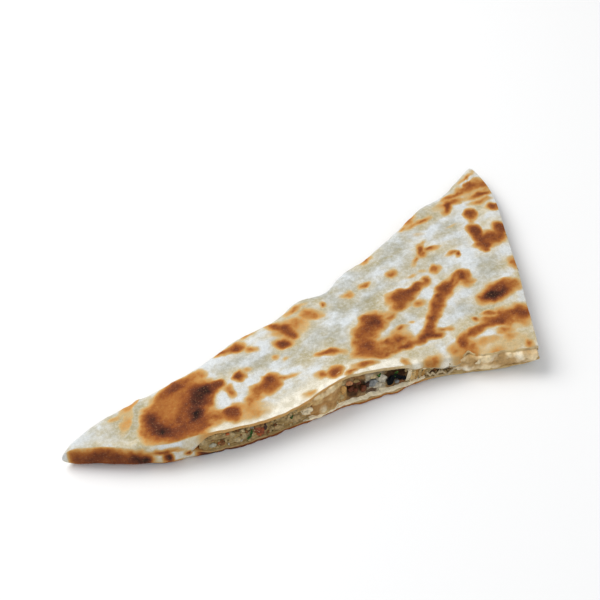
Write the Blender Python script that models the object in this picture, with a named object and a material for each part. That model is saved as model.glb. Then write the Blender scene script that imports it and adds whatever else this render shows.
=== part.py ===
"""A cut piece of gozleme: one thin sheet of dough folded over a crumbly filling.

+X runs along the long cut from the narrow tip to the square corner, +Y from that cut to the folded
edge, and +Z up. The origin is the bottom centre of the piece's box. Lengths are in metres.

Both solids share one plan, read at (u, v): u runs from the tip (0) to the short cut (1), and v from
the long cut (0) to the fold (1).
"""

import math

import bmesh
import bpy
import numpy as np
from mathutils import Vector, noise

# The plan, seen from above: smooth curves through the few points that give each side its shape.
# The two long sides are (x, y), and the short cut is (v, x). SETBACK is (x, how far the upper lip
# stands behind the lower one).
LONG_CUT = ((0.0, -0.005), (0.016, -0.0098), (0.030, -0.0132), (0.043, -0.0152), (0.060, -0.0138),
            (0.090, -0.0098), (0.108, -0.0048), (0.122, -0.0008), (0.132, 0.0008), (0.142, 0.0022),
            (0.152, 0.0044), (0.162, 0.0053), (0.185, 0.0045), (0.207, 0.0), (0.218, -0.003))
FOLD = ((0.0, -0.005), (0.018, 0.0088), (0.045, 0.0205), (0.064, 0.030), (0.082, 0.042),
        (0.098, 0.0485), (0.111, 0.058), (0.126, 0.062), (0.133, 0.0695), (0.150, 0.081),
        (0.168, 0.096), (0.180, 0.107), (0.192, 0.1135), (0.210, 0.1305), (0.218, 0.137))
SETBACK = ((0.0, 0.0), (0.090, 0.0), (0.106, 0.0), (0.120, 0.0018), (0.130, 0.0025),
           (0.142, 0.0024), (0.152, 0.0006), (0.160, 0.0), (0.175, 0.0), (0.188, 0.0),
           (0.196, 0.0008), (0.202, 0.0019), (0.207, 0.0028), (0.218, 0.0028))
SETBACK_FADE = 0.6              # v where the setback is no longer felt
SHORT_CUT = ((0.0, 0.207), (0.15, 0.209), (0.37, 0.212), (0.64, 0.215), (0.80, 0.2162),
             (0.88, 0.2150), (0.94, 0.2130), (1.0, 0.2105))

# Heights of the upper skin over the table, along the long cut and further in.
LONG_CUT_HEIGHT = ((0.0, 0.0095), (0.015, 0.0105), (0.040, 0.0122), (0.064, 0.0138),
                   (0.092, 0.0122), (0.123, 0.0165), (0.153, 0.0115), (0.170, 0.0098),
                   (0.190, 0.0115), (0.207, 0.0118), (0.218, 0.0118))
CENTRE_HEIGHT = 0.0112
APEX_HEIGHT = 0.0072
APEX_REACH = (0.030, 0.125)     # y where the skin starts to sink to the apex, and where it is down
CUT_REACH = 0.020               # how far in from the long cut its own height is felt
CROWN = 0.0010                  # swell of the skin just behind the long cut
DROOP = 0.0012                  # how far the skin sinks to the short cut
DROOP_REACH = 0.007
SWELLS = ((0.030, 0.0009), (0.013, 0.0004))   # wavelength and height of the skin's waves
LIP_LIFT = 0.0008               # waves of the lower lip over the table
LIP_WAVE = 0.016
LIP_REACH = 0.012               # the underside is flat from here in
CORNER_LIFT = 0.0050            # the square corner curls up from the table
CORNER_CURL = 0.011
CORNER_REACH = 0.036

# The sheet of dough.
DOUGH = 0.0014
TIP_ROUND = 0.007
FOLD_ROUND = 0.0075
WALL_ROUND = 0.0034             # upper edge of the closed wall at the tip
LIP_ROUND = 0.0007              # upper edge of the cut dough
OPEN_FROM = 0.052               # the dough is closed from the tip to here, and cut from here on
OPEN_OVER = 0.011
HOLLOW_OVER = 0.024

# The filling, which stands a little behind the lips of the dough.
CLEARANCE = 0.0005
RECESS = 0.0014
FILLING_FROM = 14               # station where the filling starts
CRAG = 0.0009                   # depth of the crumbs in the cut face
CRAG_LENGTH = 0.0045
RIM_SHARE = 0.12                # share of that depth at the face's upper and lower edges
LEDGE = 0.0008                  # leaves of dough that stand out between the crumbs
LEDGE_SPACING = 0.0034
LUMPS = ((0.083, 0.0015, 0.0025), (0.126, 0.0014, 0.0055), (0.144, 0.0017, 0.0035),
         (0.165, 0.0010, 0.0050))   # x along the long cut, height and half length of each chunk

STATIONS = 38
SKIN_STEPS = 18
FOLD_STEPS = 4
WALL_STEPS = 2
FACE_STEPS = 4                  # columns of the cut face between two stations
FACE_ROWS = 6

DOUGH_COLOUR = (0.74, 0.62, 0.44, 1.0)
FILLING_COLOUR = (0.55, 0.46, 0.33, 1.0)


def curve(points, at):
    """A smooth curve through the points, read at one or more places along them."""
    along, across = np.array(points).T
    slope = np.gradient(across, along)
    at = np.clip(at, along[0], along[-1])
    i = np.clip(np.searchsorted(along, at, side="right") - 1, 0, len(along) - 2)
    span = along[i + 1] - along[i]
    t = (at - along[i]) / span
    start = (1 + 2 * t) * (1 - t) ** 2 * across[i] + t * (1 - t) ** 2 * span * slope[i]
    end = t * t * (3 - 2 * t) * across[i + 1] + t * t * (t - 1) * span * slope[i + 1]
    return start + end


def ease(x):
    """0 below 0, 1 above 1, and smooth between."""
    x = np.clip(x, 0.0, 1.0)
    return x * x * (3 - 2 * x)


def waves(x, y, length, seed):
    """Smooth noise from about -1 to 1, with bumps about this long."""
    places = zip(np.ravel(x) / length, np.ravel(y) / length)
    values = [noise.noise(Vector((a, b, seed))) for a, b in places]
    return np.reshape(values, np.shape(x)) * 1.6


def rounding(distance, reach):
    """A quarter of an ellipse: 0 at the edge and 1 from reach on."""
    return np.sqrt(1 - (1 - np.clip(distance / reach, 0.0, 1.0)) ** 2)


def plan(u, v):
    """x, y and the width across, at u and v."""
    x = u * curve(SHORT_CUT, v)
    front = curve(LONG_CUT, x)
    back = curve(FOLD, x)
    half = (back - front) / 2 * rounding(x, TIP_ROUND)
    return x, (front + back) / 2 + (2 * v - 1) * half, np.maximum(2 * half, 1e-9)


def heights(u, v):
    """Height of the lower skin, of the middle and of the upper skin, before the fold rounds them."""
    x, y, width = plan(u, v)
    from_cut = v * width
    from_short_cut = curve(SHORT_CUT, v) - x
    sunk = ease((y - APEX_REACH[0]) / (APEX_REACH[1] - APEX_REACH[0]))
    centre = CENTRE_HEIGHT + (APEX_HEIGHT - CENTRE_HEIGHT) * sunk
    share = np.exp(-from_cut / CUT_REACH)
    top = centre + (curve(LONG_CUT_HEIGHT, x) - centre) * share
    top = top + CROWN * share * (1 - np.exp(-4 * from_cut / CUT_REACH))
    top = top - DROOP * np.exp(-from_short_cut / DROOP_REACH)
    for seed, (length, height) in enumerate(SWELLS):
        top = top + height * waves(x, y, length, 3.1 + seed)
    edge = 1 - ease(np.minimum(from_cut, from_short_cut) / LIP_REACH)
    from_corner = from_cut + from_short_cut
    corner = np.exp(-from_corner / CORNER_CURL) * (1 - ease(from_corner / CORNER_REACH))
    bottom = LIP_LIFT * edge * ease(0.2 + waves(x, y, LIP_WAVE, 7.7)) + CORNER_LIFT * corner
    middle = bottom + 0.45 * (top - bottom)
    tip = rounding(x, TIP_ROUND)
    return middle + (bottom - middle) * tip, middle, middle + (top - middle) * tip


def opening(x, over):
    """How far the dough has opened at x: 0 in the closed tip, 1 where it is wide open."""
    return ease((x - OPEN_FROM) / over)


def station_places():
    """u of each station: close together round the tip, then evenly spaced."""
    tip = TIP_ROUND / SHORT_CUT[0][1]
    near = [tip * (1 - math.cos(math.pi / 2 * k / 4)) for k in range(5)]
    return near + [tip + (1 - tip) * k / STATIONS for k in range(1, STATIONS + 1)]


def skin_path(u):
    """(v, share of the height) from the upper lip over the skin to the middle of the fold."""
    x, _, width = plan(u, 0.0)
    _, middle, high = heights(u, 0.0)
    opened = opening(x, OPEN_OVER)
    lip = opened * max(high - DOUGH - middle, 0.0) / max(high - middle, 1e-9)
    wall = min(WALL_ROUND + (LIP_ROUND - WALL_ROUND) * opened, 0.3 * width)
    fold = min(FOLD_ROUND, 0.45 * width)
    path = []
    for k in range(WALL_STEPS + 1):
        turn = math.pi / 2 * k / WALL_STEPS
        share = lip + (1 - lip) * math.sin(turn) ** 0.8
        path.append((wall * (1 - math.cos(turn)) / width, share))
    first, last = wall / width, 1 - fold / width
    for k in range(1, SKIN_STEPS + 1):
        path.append((first + (last - first) * k / SKIN_STEPS, 1.0))
    for k in range(FOLD_STEPS - 1, -1, -1):
        turn = math.pi / 2 * k / FOLD_STEPS
        path.append((1 - fold / width * (1 - math.cos(turn)), math.sin(turn) ** 0.85))
    return path


def behind_lip(u, v, upper):
    """v, moved back near the cut where the upper sheet starts behind the lower one."""
    x, _, width = plan(u, 0.0)
    back = curve(SETBACK, x) / width if upper else 0.0
    return v + back * max(1 - v / SETBACK_FADE, 0.0)


def skin_point(u, v, share, upper):
    v = behind_lip(u, v, upper)
    x, y, _ = plan(u, v)
    low, middle, high = heights(u, v)
    return x, y, middle + share * ((high if upper else low) - middle)


def hollow_path(u, gap):
    """(v, share of the height) along the hollow's wall, this far inside it, from the cut to the fold."""
    x, _, width = plan(u, 0.0)
    depth = opening(x, HOLLOW_OVER) * max(1 - (1.3 * DOUGH + gap) / width, 0.0)
    return [(v * depth, share) for v, share in skin_path(u)[WALL_STEPS::2]]


def hollow_point(u, v, share, upper, gap):
    """A point of the hollow's ceiling or floor, or of a surface this far inside it."""
    v = behind_lip(u, v, upper)
    x, y, _ = plan(u, v)
    low, middle, high = heights(u, v)
    layer = DOUGH + gap
    reach = high - layer - middle if upper else low + layer - middle
    return x, y, middle + reach * share * opening(plan(u, 0.0)[0], OPEN_OVER)


def dough_loop(u):
    """One closed loop round the dough at u: over the skin, under it, and back through the hollow."""
    skin = skin_path(u)
    hollow = hollow_path(u, 0.0)
    loop = [skin_point(u, v, share, True) for v, share in skin]
    loop += [skin_point(u, v, share, False) for v, share in skin[-2::-1]]
    loop += [hollow_point(u, v, share, False, 0.0) for v, share in hollow]
    return loop + [hollow_point(u, v, share, True, 0.0) for v, share in hollow[-2::-1]]


def add_object(name, bm, colour, roughness, collection, parent):
    """Closes the mesh up, makes it an object with its own material, and hangs it on the parent."""
    bmesh.ops.remove_doubles(bm, verts=bm.verts, dist=2e-6)
    bmesh.ops.dissolve_degenerate(bm, edges=bm.edges, dist=1e-6)
    bmesh.ops.triangulate(bm, faces=bm.faces)
    bmesh.ops.recalc_face_normals(bm, faces=bm.faces)
    mesh = bpy.data.meshes.new(name)
    bm.to_mesh(mesh)
    bm.free()
    mesh.shade_smooth()
    mesh.set_sharp_from_angle(angle=math.radians(50))
    material = bpy.data.materials.new(name)
    material.use_nodes = True
    shader = material.node_tree.nodes["Principled BSDF"]
    shader.inputs["Base Color"].default_value = colour
    shader.inputs["Roughness"].default_value = roughness
    shader.inputs["Metallic"].default_value = 0.0
    mesh.materials.append(material)
    piece = bpy.data.objects.new(name, mesh)
    collection.objects.link(piece)
    piece.parent = parent
    return piece


def dough(collection, parent):
    """The folded sheet: a loft of loops that share one number of points, closed at the short cut."""
    bm = bmesh.new()
    loops = [[bm.verts.new(p) for p in dough_loop(u)] for u in station_places()]
    for first, second in zip(loops, loops[1:]):
        for i in range(len(first)):
            j = (i + 1) % len(first)
            bm.faces.new((first[i], first[j], second[j], second[i]))
    bm.faces.new(loops[-1])
    return add_object("dough", bm, DOUGH_COLOUR, 0.75, collection, parent)


def crag(point, outward, level):
    """A point of the cut face, moved out or in by crumbs, leaves and chunks. level runs up the face."""
    x, y, z = point
    along = x + y
    crumbs = CRAG * (waves(along, z, CRAG_LENGTH, 11.3) + 0.5 * waves(along, z, 0.4 * CRAG_LENGTH, 5.9))
    leaf = math.cos(2 * math.pi * (z + 0.0012 * waves(along, 0.0, 0.02, 2.4)) / LEDGE_SPACING)
    out = crumbs + LEDGE * max(leaf, 0.0)
    for place, height, half_length in LUMPS:
        out += height * math.exp(-(((x - place) / half_length) ** 2)) * abs(outward.y)
    share = RIM_SHARE + (1 - RIM_SHARE) * math.sin(math.pi * level) ** 0.6
    return Vector(point) + outward * out * share


def filling_grid(upper):
    """Points of the filling's upper or lower side: rows of u, each from the cut to the fold."""
    places = station_places()[FILLING_FROM:]
    inset = RECESS / plan(1.0, 0.5)[0]
    places[-1] -= inset
    rows = []
    for u in places:
        path = hollow_path(u, CLEARANCE)
        width = plan(u, 0.0)[2]
        path[0] = (RECESS / width, 1.0)
        rows.append([hollow_point(u, v, share, upper, CLEARANCE) for v, share in path])
    return rows


def cut_edge(rows):
    """Grid places along the filling's two cut faces, from the tip to the corner and to the fold."""
    last = len(rows) - 1
    return [(i, 0) for i in range(last)] + [(last, j) for j in range(len(rows[0]))]


def outward_at(rows, place):
    """The direction that the cut face looks in: to the long cut, to the short cut, or between."""
    if place[0] < len(rows) - 1:
        return Vector((0.0, -1.0, 0.0))
    return Vector((1.0, 0.0, 0.0)) if place[1] else Vector((0.7, -0.7, 0.0))


def face_columns(rows, floor, place, following):
    """Columns of points up the cut face, from this grid place to just before the following one."""
    columns = []
    for step in range(FACE_STEPS):
        share = step / FACE_STEPS
        top = Vector(rows[place[0]][place[1]]).lerp(Vector(rows[following[0]][following[1]]), share)
        foot = Vector(floor[place[0]][place[1]]).lerp(Vector(floor[following[0]][following[1]]), share)
        outward = outward_at(rows, place).lerp(outward_at(rows, following), share)
        levels = [k / FACE_ROWS for k in range(FACE_ROWS + 1)]
        columns.append([crag(foot.lerp(top, level), outward, level) for level in levels])
    return columns


def filling(collection, parent):
    """The crumbly core: a coarse slab inside the hollow, with fine craggy faces at the two cuts."""
    bm = bmesh.new()
    ceiling, floor = filling_grid(True), filling_grid(False)
    edge = cut_edge(ceiling)
    columns = {}
    for place, following in zip(edge, edge[1:]):
        made = face_columns(ceiling, floor, place, following)
        columns[place, following] = [[bm.verts.new(p) for p in column] for column in made]
    ends = Vector(ceiling[-1][-1]), Vector(floor[-1][-1])
    last = [bm.verts.new(ends[1].lerp(ends[0], k / FACE_ROWS)) for k in range(FACE_ROWS + 1)]
    run = [column for pair in zip(edge, edge[1:]) for column in columns[pair]] + [last]
    for first, second in zip(run, run[1:]):
        for k in range(FACE_ROWS):
            bm.faces.new((first[k], second[k], second[k + 1], first[k + 1]))
    for side, rows in ((FACE_ROWS, ceiling), (0, floor)):
        slab(bm, rows, columns, last, side)
    tip_wall(bm, ceiling[0], floor[0], run[0])
    return add_object("filling", bm, FILLING_COLOUR, 0.85, collection, parent)


def slab(bm, rows, columns, last, side):
    """The filling's ceiling or floor: one face for each cell, with the cut faces' points on its rim."""
    rim = {place: made[0][side] for (place, _), made in columns.items()}
    rim[len(rows) - 1, len(rows[0]) - 1] = last[side]
    corner = {}
    for i, row in enumerate(rows):
        for j, point in enumerate(row):
            corner[i, j] = rim.get((i, j)) or bm.verts.new(point)
    for i in range(len(rows) - 1):
        for j in range(len(rows[0]) - 1):
            ring = [(i, j), (i + 1, j), (i + 1, j + 1), (i, j + 1)]
            face = []
            for place, following in zip(ring, ring[1:] + ring[:1]):
                face.append(corner[place])
                face += [column[side] for column in columns.get((place, following), [])[1:]]
            bm.faces.new(face)


def tip_wall(bm, top, foot, column):
    """The end of the filling towards the tip, which shares its first column up the cut face."""
    under = [bm.verts.new(point) for point in foot[:0:-1]]
    over = [bm.verts.new(point) for point in top[1:-1]]
    bm.faces.new([*under, *column, *over])


def main():
    for old in list(bpy.data.objects):
        bpy.data.objects.remove(old)
    collection = bpy.data.collections.new("gozleme")
    bpy.context.scene.collection.children.link(collection)
    base = bpy.data.objects.new("gozleme", None)
    collection.objects.link(base)
    pieces = [dough(collection, base), filling(collection, base)]
    points = np.array([vertex.co for piece in pieces for vertex in piece.data.vertices])
    low, high = points.min(axis=0), points.max(axis=0)
    base.location = (-(low[0] + high[0]) / 2, -(low[1] + high[1]) / 2, -low[2])


main()
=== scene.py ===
"""The looks of a cut piece of gozleme: a scorched sheet of thin dough, folded over a crumbly filling.

Lengths are in metres. Those in the tables of marks, hollows, chunks, leaves and herbs are in
millimetres. Shapes are worked out in the piece's plan, where +X runs along the long cut from the
narrow tip, +Y from that cut to the folded edge and +Z up. PLACE then moves them onto the frame.
"""

import math

import bmesh
import bpy
import numpy as np
from mathutils import Matrix, Quaternion, Vector, noise


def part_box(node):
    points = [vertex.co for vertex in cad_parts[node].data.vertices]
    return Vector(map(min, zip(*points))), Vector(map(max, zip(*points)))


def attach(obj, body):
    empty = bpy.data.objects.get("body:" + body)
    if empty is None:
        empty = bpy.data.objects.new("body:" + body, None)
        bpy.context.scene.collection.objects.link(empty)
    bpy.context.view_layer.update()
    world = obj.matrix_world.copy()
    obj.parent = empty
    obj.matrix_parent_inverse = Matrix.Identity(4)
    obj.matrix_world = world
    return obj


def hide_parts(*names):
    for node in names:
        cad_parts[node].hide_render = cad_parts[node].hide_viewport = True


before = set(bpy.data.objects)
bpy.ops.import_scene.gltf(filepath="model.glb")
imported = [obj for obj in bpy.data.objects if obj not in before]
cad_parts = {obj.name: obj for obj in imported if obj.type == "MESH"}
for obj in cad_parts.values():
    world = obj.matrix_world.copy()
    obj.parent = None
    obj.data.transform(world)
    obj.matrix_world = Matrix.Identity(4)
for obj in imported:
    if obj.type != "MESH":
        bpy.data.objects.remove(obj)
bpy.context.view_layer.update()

# The plan of the solids, which these pieces follow. The two long sides are (x, y), the short cut is
# (v, x), and SETBACK is (x, how far the upper lip stands behind the lower one).
LONG_CUT = ((0.0, -0.005), (0.016, -0.0098), (0.030, -0.0132), (0.043, -0.0152), (0.060, -0.0138),
            (0.090, -0.0098), (0.108, -0.0048), (0.122, -0.0008), (0.132, 0.0008), (0.142, 0.0022),
            (0.152, 0.0044), (0.162, 0.0053), (0.185, 0.0045), (0.207, 0.0), (0.218, -0.003))
FOLD = ((0.0, -0.005), (0.018, 0.0088), (0.045, 0.0205), (0.064, 0.030), (0.082, 0.042),
        (0.098, 0.0485), (0.111, 0.058), (0.126, 0.062), (0.133, 0.0695), (0.150, 0.081),
        (0.168, 0.096), (0.180, 0.107), (0.192, 0.1135), (0.210, 0.1305), (0.218, 0.137))
SETBACK = ((0.0, 0.0), (0.090, 0.0), (0.106, 0.0), (0.120, 0.0018), (0.130, 0.0025),
           (0.142, 0.0024), (0.152, 0.0006), (0.160, 0.0), (0.175, 0.0), (0.188, 0.0),
           (0.196, 0.0008), (0.202, 0.0019), (0.207, 0.0028), (0.218, 0.0028))
SETBACK_FADE = 0.6              # v where the setback is no longer felt
SHORT_CUT = ((0.0, 0.207), (0.15, 0.209), (0.37, 0.212), (0.64, 0.215), (0.80, 0.2162),
             (0.88, 0.2150), (0.94, 0.2130), (1.0, 0.2105))
# Heights of the upper skin, along the long cut and further in.
LONG_CUT_HEIGHT = ((0.0, 0.0095), (0.015, 0.0105), (0.040, 0.0122), (0.064, 0.0138),
                   (0.092, 0.0122), (0.123, 0.0165), (0.153, 0.0115), (0.170, 0.0098),
                   (0.190, 0.0115), (0.207, 0.0118), (0.218, 0.0118))
CENTRE_HEIGHT = 0.0112
APEX_HEIGHT = 0.0072
MIDDLE_SHARE = 0.45             # share of the height where the upper skin meets the lower one
APEX_REACH = (0.030, 0.125)     # y where the skin starts to sink to the apex, and where it is down
CUT_REACH = 0.020               # how far in from the long cut its own height is felt
CROWN = 0.0010                  # swell of the skin just behind the long cut
DROOP = 0.0012                  # how far the skin sinks to the short cut
DROOP_REACH = 0.007
SWELLS = ((0.030, 0.0009), (0.013, 0.0004))   # wavelength and height of the skin's waves
LIP_LIFT = 0.0008               # waves of the lower lip over the table
LIP_WAVE = 0.016
LIP_REACH = 0.012
CORNER_LIFT = 0.0066            # the square corner curls up from the table
CORNER_CURL = 0.011
CORNER_REACH = 0.036
TIP_ROUND = 0.007
FOLD_ROUND = 0.0075
WALL_ROUND = 0.0034             # radius of the closed wall's upper edge, at the tip
OPEN_FROM = 0.052               # the dough is closed from the tip to here
OPEN_OVER = 0.011
HOLLOW_OVER = 0.024
RECESS = 0.0014                 # how far the filling stands behind the cuts
FILLING_FROM = 0.0568

# The sheet of dough: thinner at its cut edges than the solid, which is thick enough to be stiff.
DOUGH = 0.0013
LIP_ROUND = 0.0005
MM = 0.001
# How far the upper lip is torn back at random, and where it hangs over the cut as a flap: both by x.
RAGGED = ((0.0, 0.0003), (0.140, 0.0004), (0.170, 0.0006), (0.182, 0.0012), (0.218, 0.0012))
NOTCH = (0.1772, 0.0024, 0.0026)    # x, half length and depth of the tear beside the flap
FLAP = ((0.0, 0.0), (0.148, 0.0), (0.152, 0.0010), (0.158, 0.0019), (0.163, 0.0027), (0.168, 0.0034),
        (0.1712, 0.0040), (0.1728, 0.0032), (0.1745, 0.0008), (0.1760, 0.0), (0.1790, 0.0),
        (0.1803, 0.0010), (0.1815, 0.0019), (0.1826, 0.0010), (0.1838, 0.0), (0.218, 0.0))
FLAP_BEND = 0.0010                  # how far back the skin starts to bend down into the flap
LOWER_LIP = ((0.0, 0.0), (0.112, 0.0), (0.122, 0.0006), (0.150, 0.0009), (0.158, 0.0002), (0.218, 0.0))


def curve(points, at):
    """A smooth curve through the points, read at one or more places along them."""
    along, across = np.array(points).T
    slope = np.gradient(across, along)
    at = np.clip(at, along[0], along[-1])
    i = np.clip(np.searchsorted(along, at, side="right") - 1, 0, len(along) - 2)
    span = along[i + 1] - along[i]
    t = (at - along[i]) / span
    start = (1 + 2 * t) * (1 - t) ** 2 * across[i] + t * (1 - t) ** 2 * span * slope[i]
    end = t * t * (3 - 2 * t) * across[i + 1] + t * t * (t - 1) * span * slope[i + 1]
    return start + end


def straight(points, at):
    """The same, with straight lines from point to point."""
    return np.interp(at, *np.array(points).T)


def ease(x):
    """0 below 0, 1 above 1, and smooth between."""
    x = np.clip(x, 0.0, 1.0)
    return x * x * (3 - 2 * x)


def waves(x, y, length, seed):
    """Smooth noise from about -1 to 1, with bumps about this long."""
    x, y = np.broadcast_arrays(x, y)
    places = zip(np.ravel(x) / length, np.ravel(y) / length)
    values = [noise.noise(Vector((a, b, seed))) for a, b in places]
    return np.reshape(values, np.shape(x)) * 1.6


def rough(x, y, length, seed, octaves=3):
    """Waves with finer waves on them."""
    return sum(waves(x, y, length / 2**k, seed + 5.3 * k) / 2**k for k in range(octaves))


def rounding(distance, reach):
    """A quarter of an ellipse: 0 at the edge and 1 from reach on."""
    return np.sqrt(1 - (1 - np.clip(distance / reach, 0.0, 1.0)) ** 2)


def plan(u, v):
    """x, y and the width across. u runs from the tip to the short cut, v from the long cut to the fold."""
    x = u * curve(SHORT_CUT, v)
    front = curve(LONG_CUT, x)
    back = curve(FOLD, x)
    half = (back - front) / 2 * rounding(x, TIP_ROUND)
    return x, (front + back) / 2 + (2 * v - 1) * half, np.maximum(2 * half, 1e-9)


def heights(u, v):
    """Height of the lower skin, of the middle and of the upper skin, before the fold rounds them."""
    x, y, width = plan(u, v)
    from_cut = v * width
    from_short_cut = curve(SHORT_CUT, v) - x
    sunk = ease((y - APEX_REACH[0]) / (APEX_REACH[1] - APEX_REACH[0]))
    centre = CENTRE_HEIGHT + (APEX_HEIGHT - CENTRE_HEIGHT) * sunk
    share = np.exp(-from_cut / CUT_REACH)
    top = centre + (curve(LONG_CUT_HEIGHT, x) - centre) * share
    top = top + CROWN * share * (1 - np.exp(-4 * from_cut / CUT_REACH))
    top = top - DROOP * np.exp(-from_short_cut / DROOP_REACH)
    for seed, (length, height) in enumerate(SWELLS):
        top = top + height * waves(x, y, length, 3.1 + seed)
    edge = 1 - ease(np.minimum(from_cut, from_short_cut) / LIP_REACH)
    from_corner = from_cut + from_short_cut
    corner = np.exp(-from_corner / CORNER_CURL) * (1 - ease(from_corner / CORNER_REACH))
    bottom = LIP_LIFT * edge * ease(0.2 + waves(x, y, LIP_WAVE, 7.7)) + CORNER_LIFT * corner
    middle = bottom + MIDDLE_SHARE * (top - bottom)
    tip = rounding(x, TIP_ROUND)
    return middle + (bottom - middle) * tip, middle, middle + (top - middle) * tip


def opening(x, over):
    """How far the dough has opened at x: 0 in the closed tip, 1 where it is wide open."""
    return ease((x - OPEN_FROM) / over)


PLACE = np.array([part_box("dough")[0].x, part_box("dough")[1].y - float(plan(1.0, 1.0)[1]), 0.0])


# Meshes, as arrays of points and lists of faces.

def grid_faces(rows, columns, start=0, wrap=False):
    """Faces over a grid of points. A wrapped grid joins its last column to its first."""
    faces = []
    for i in range(rows - 1):
        for j in range(columns if wrap else columns - 1):
            k = (j + 1) % columns
            faces.append((start + i * columns + j, start + i * columns + k,
                          start + (i + 1) * columns + k, start + (i + 1) * columns + j))
    return faces


WELD = 1e-6       # points nearer to each other than this become one
SLIVER = 5e-7     # edges shorter than this are taken out


def make_piece(name, points, faces, values, material, slot, node=None):
    """A closed mesh on the frame, with its values kept as attributes of its points."""
    mesh = bpy.data.meshes.new(name)
    mesh.from_pydata((points + PLACE).tolist(), [], faces)
    for key, value in values.items():
        set_value(mesh, key, value)
    bm = bmesh.new()
    bm.from_mesh(mesh)
    bmesh.ops.remove_doubles(bm, verts=bm.verts, dist=WELD)
    bmesh.ops.dissolve_degenerate(bm, edges=bm.edges, dist=SLIVER)
    bmesh.ops.recalc_face_normals(bm, faces=bm.faces)
    bm.to_mesh(mesh)
    bm.free()
    mesh.shade_smooth()
    mesh.materials.append(material)
    piece = bpy.data.objects.new(name, mesh)
    bpy.context.scene.collection.objects.link(piece)
    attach(piece, "root")
    if node:
        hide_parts(node)
    return piece


def set_value(mesh, key, value):
    """Keeps one number or one colour for each point of the mesh."""
    kind, field = ("FLOAT_COLOR", "color") if value.ndim == 2 else ("FLOAT", "value")
    attribute = mesh.attributes.get(key) or mesh.attributes.new(key, kind, "POINT")
    attribute.data.foreach_set(field, value.astype(np.float32).ravel())


def opaque(colours):
    """The colours with an alpha of 1."""
    return np.concatenate([colours, np.ones((len(colours), 1))], axis=1)


def read_value(mesh, key):
    values = np.empty(len(mesh.vertices), np.float32)
    mesh.attributes[key].data.foreach_get("value", values)
    return values


def points_and_normals(mesh):
    """The mesh's points in the plan, and the directions that they look in."""
    points = np.empty(len(mesh.vertices) * 3)
    mesh.vertices.foreach_get("co", points)
    normals = np.empty(len(mesh.vertices) * 3)
    mesh.vertices.foreach_get("normal", normals)
    return points.reshape(-1, 3) - PLACE, normals.reshape(-1, 3)


# The scorch marks of the upper skin: x, y, half length, half width, turn in degrees, and how dark.
# Dark is 0.3 for tan, 0.5 for orange brown, 0.7 for brown and 1 for black.
BURNT_END = (
    (50, 3, 15, 12, 30, .55), (42, -3, 8, 10, 0, .55), (57, -4, 8, 9, 0, .55),
    (52, 16, 10, 5, 32, .53), (62, 9, 6, 9, 0, .59), (40, 2, 4, 6, 0, .62),
    (48, -8, 9, 4.5, 0, .60), (43.2, -5.2, 4.6, 5.0, 0, .70), (43, -6, .7, 1.5, -15, .95),
    (57.5, -.5, 3.8, 4.4, 0, .72), (57, 0, 1.3, 1.5, 0, .82), (59.5, 6, 3.6, 4.4, 0, .68),
    (62.5, 11.5, 6, 4, 10, .80), (50, 15.5, 8, 3, 35, .44), (68.5, 12.5, 3.5, 2.8, 0, .66),
    (73.5, 8, 3, 3, 0, .34), (72.5, -3.5, 4, 5.5, 0, .62), (78, -3.5, 11, 5, 5, .27),
    (66, -4, 5, 5, 0, .42), (82, 2, 4, 3.5, 40, .26), (59, 21, 5, 3, 35, .30),
    (43.5, 12.5, 5, 2.8, 45, .52), (31, 12, 5.5, 3, 40, .32), (28.5, 3, 7.5, 2.4, 68, .20),
    (24, 6, 2.5, 1.5, 25, .22), (60, -9.5, 6, 2, 8, .50),
)
LEFT_SIDE = (
    (79.3, 15.2, 3.1, 2.5, 25, .66), (83.5, 19, 2, 1.3, 30, .26), (79.5, 33.7, 5, 2.2, 15, .60),
    (74.5, 32, 4, 1.5, 30, .45), (86, 31, 3, 1.5, -10, .30), (87, 40.5, 4, 1.3, 35, .32),
    (91, 10, 5, 4.2, 40, .60), (90.5, 12.5, 2.6, 2.6, 0, .66), (86.5, 8.5, 3.5, 2.2, 40, .42),
    (97.5, 11.2, 5.5, 1.2, 8, .36), (92, 6.5, 3.4, 2, 20, .44), (84, 4.5, 4, 3, 45, .24),
    (98.5, 43, 3, 2, -20, .54), (102.5, 40, 4.5, 3, -45, .57), (105, 36.5, 3.5, 2.5, -30, .56),
    (105, 40, 9, 6, 0, .29), (100, 31.5, 3, 2.2, 20, .62), (101, 32.5, 5, 3.5, 20, .26),
    (109.5, 51.3, 4, 1.4, 25, .45), (115.5, 46.5, 6, 3.6, 0, .30),
    (95.5, 24, 1.4, 1.1, 0, .32), (100.5, 21.5, 2, .8, 25, .20), (105.5, -2.2, 2.6, 1.2, 35, .24),
)
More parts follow.
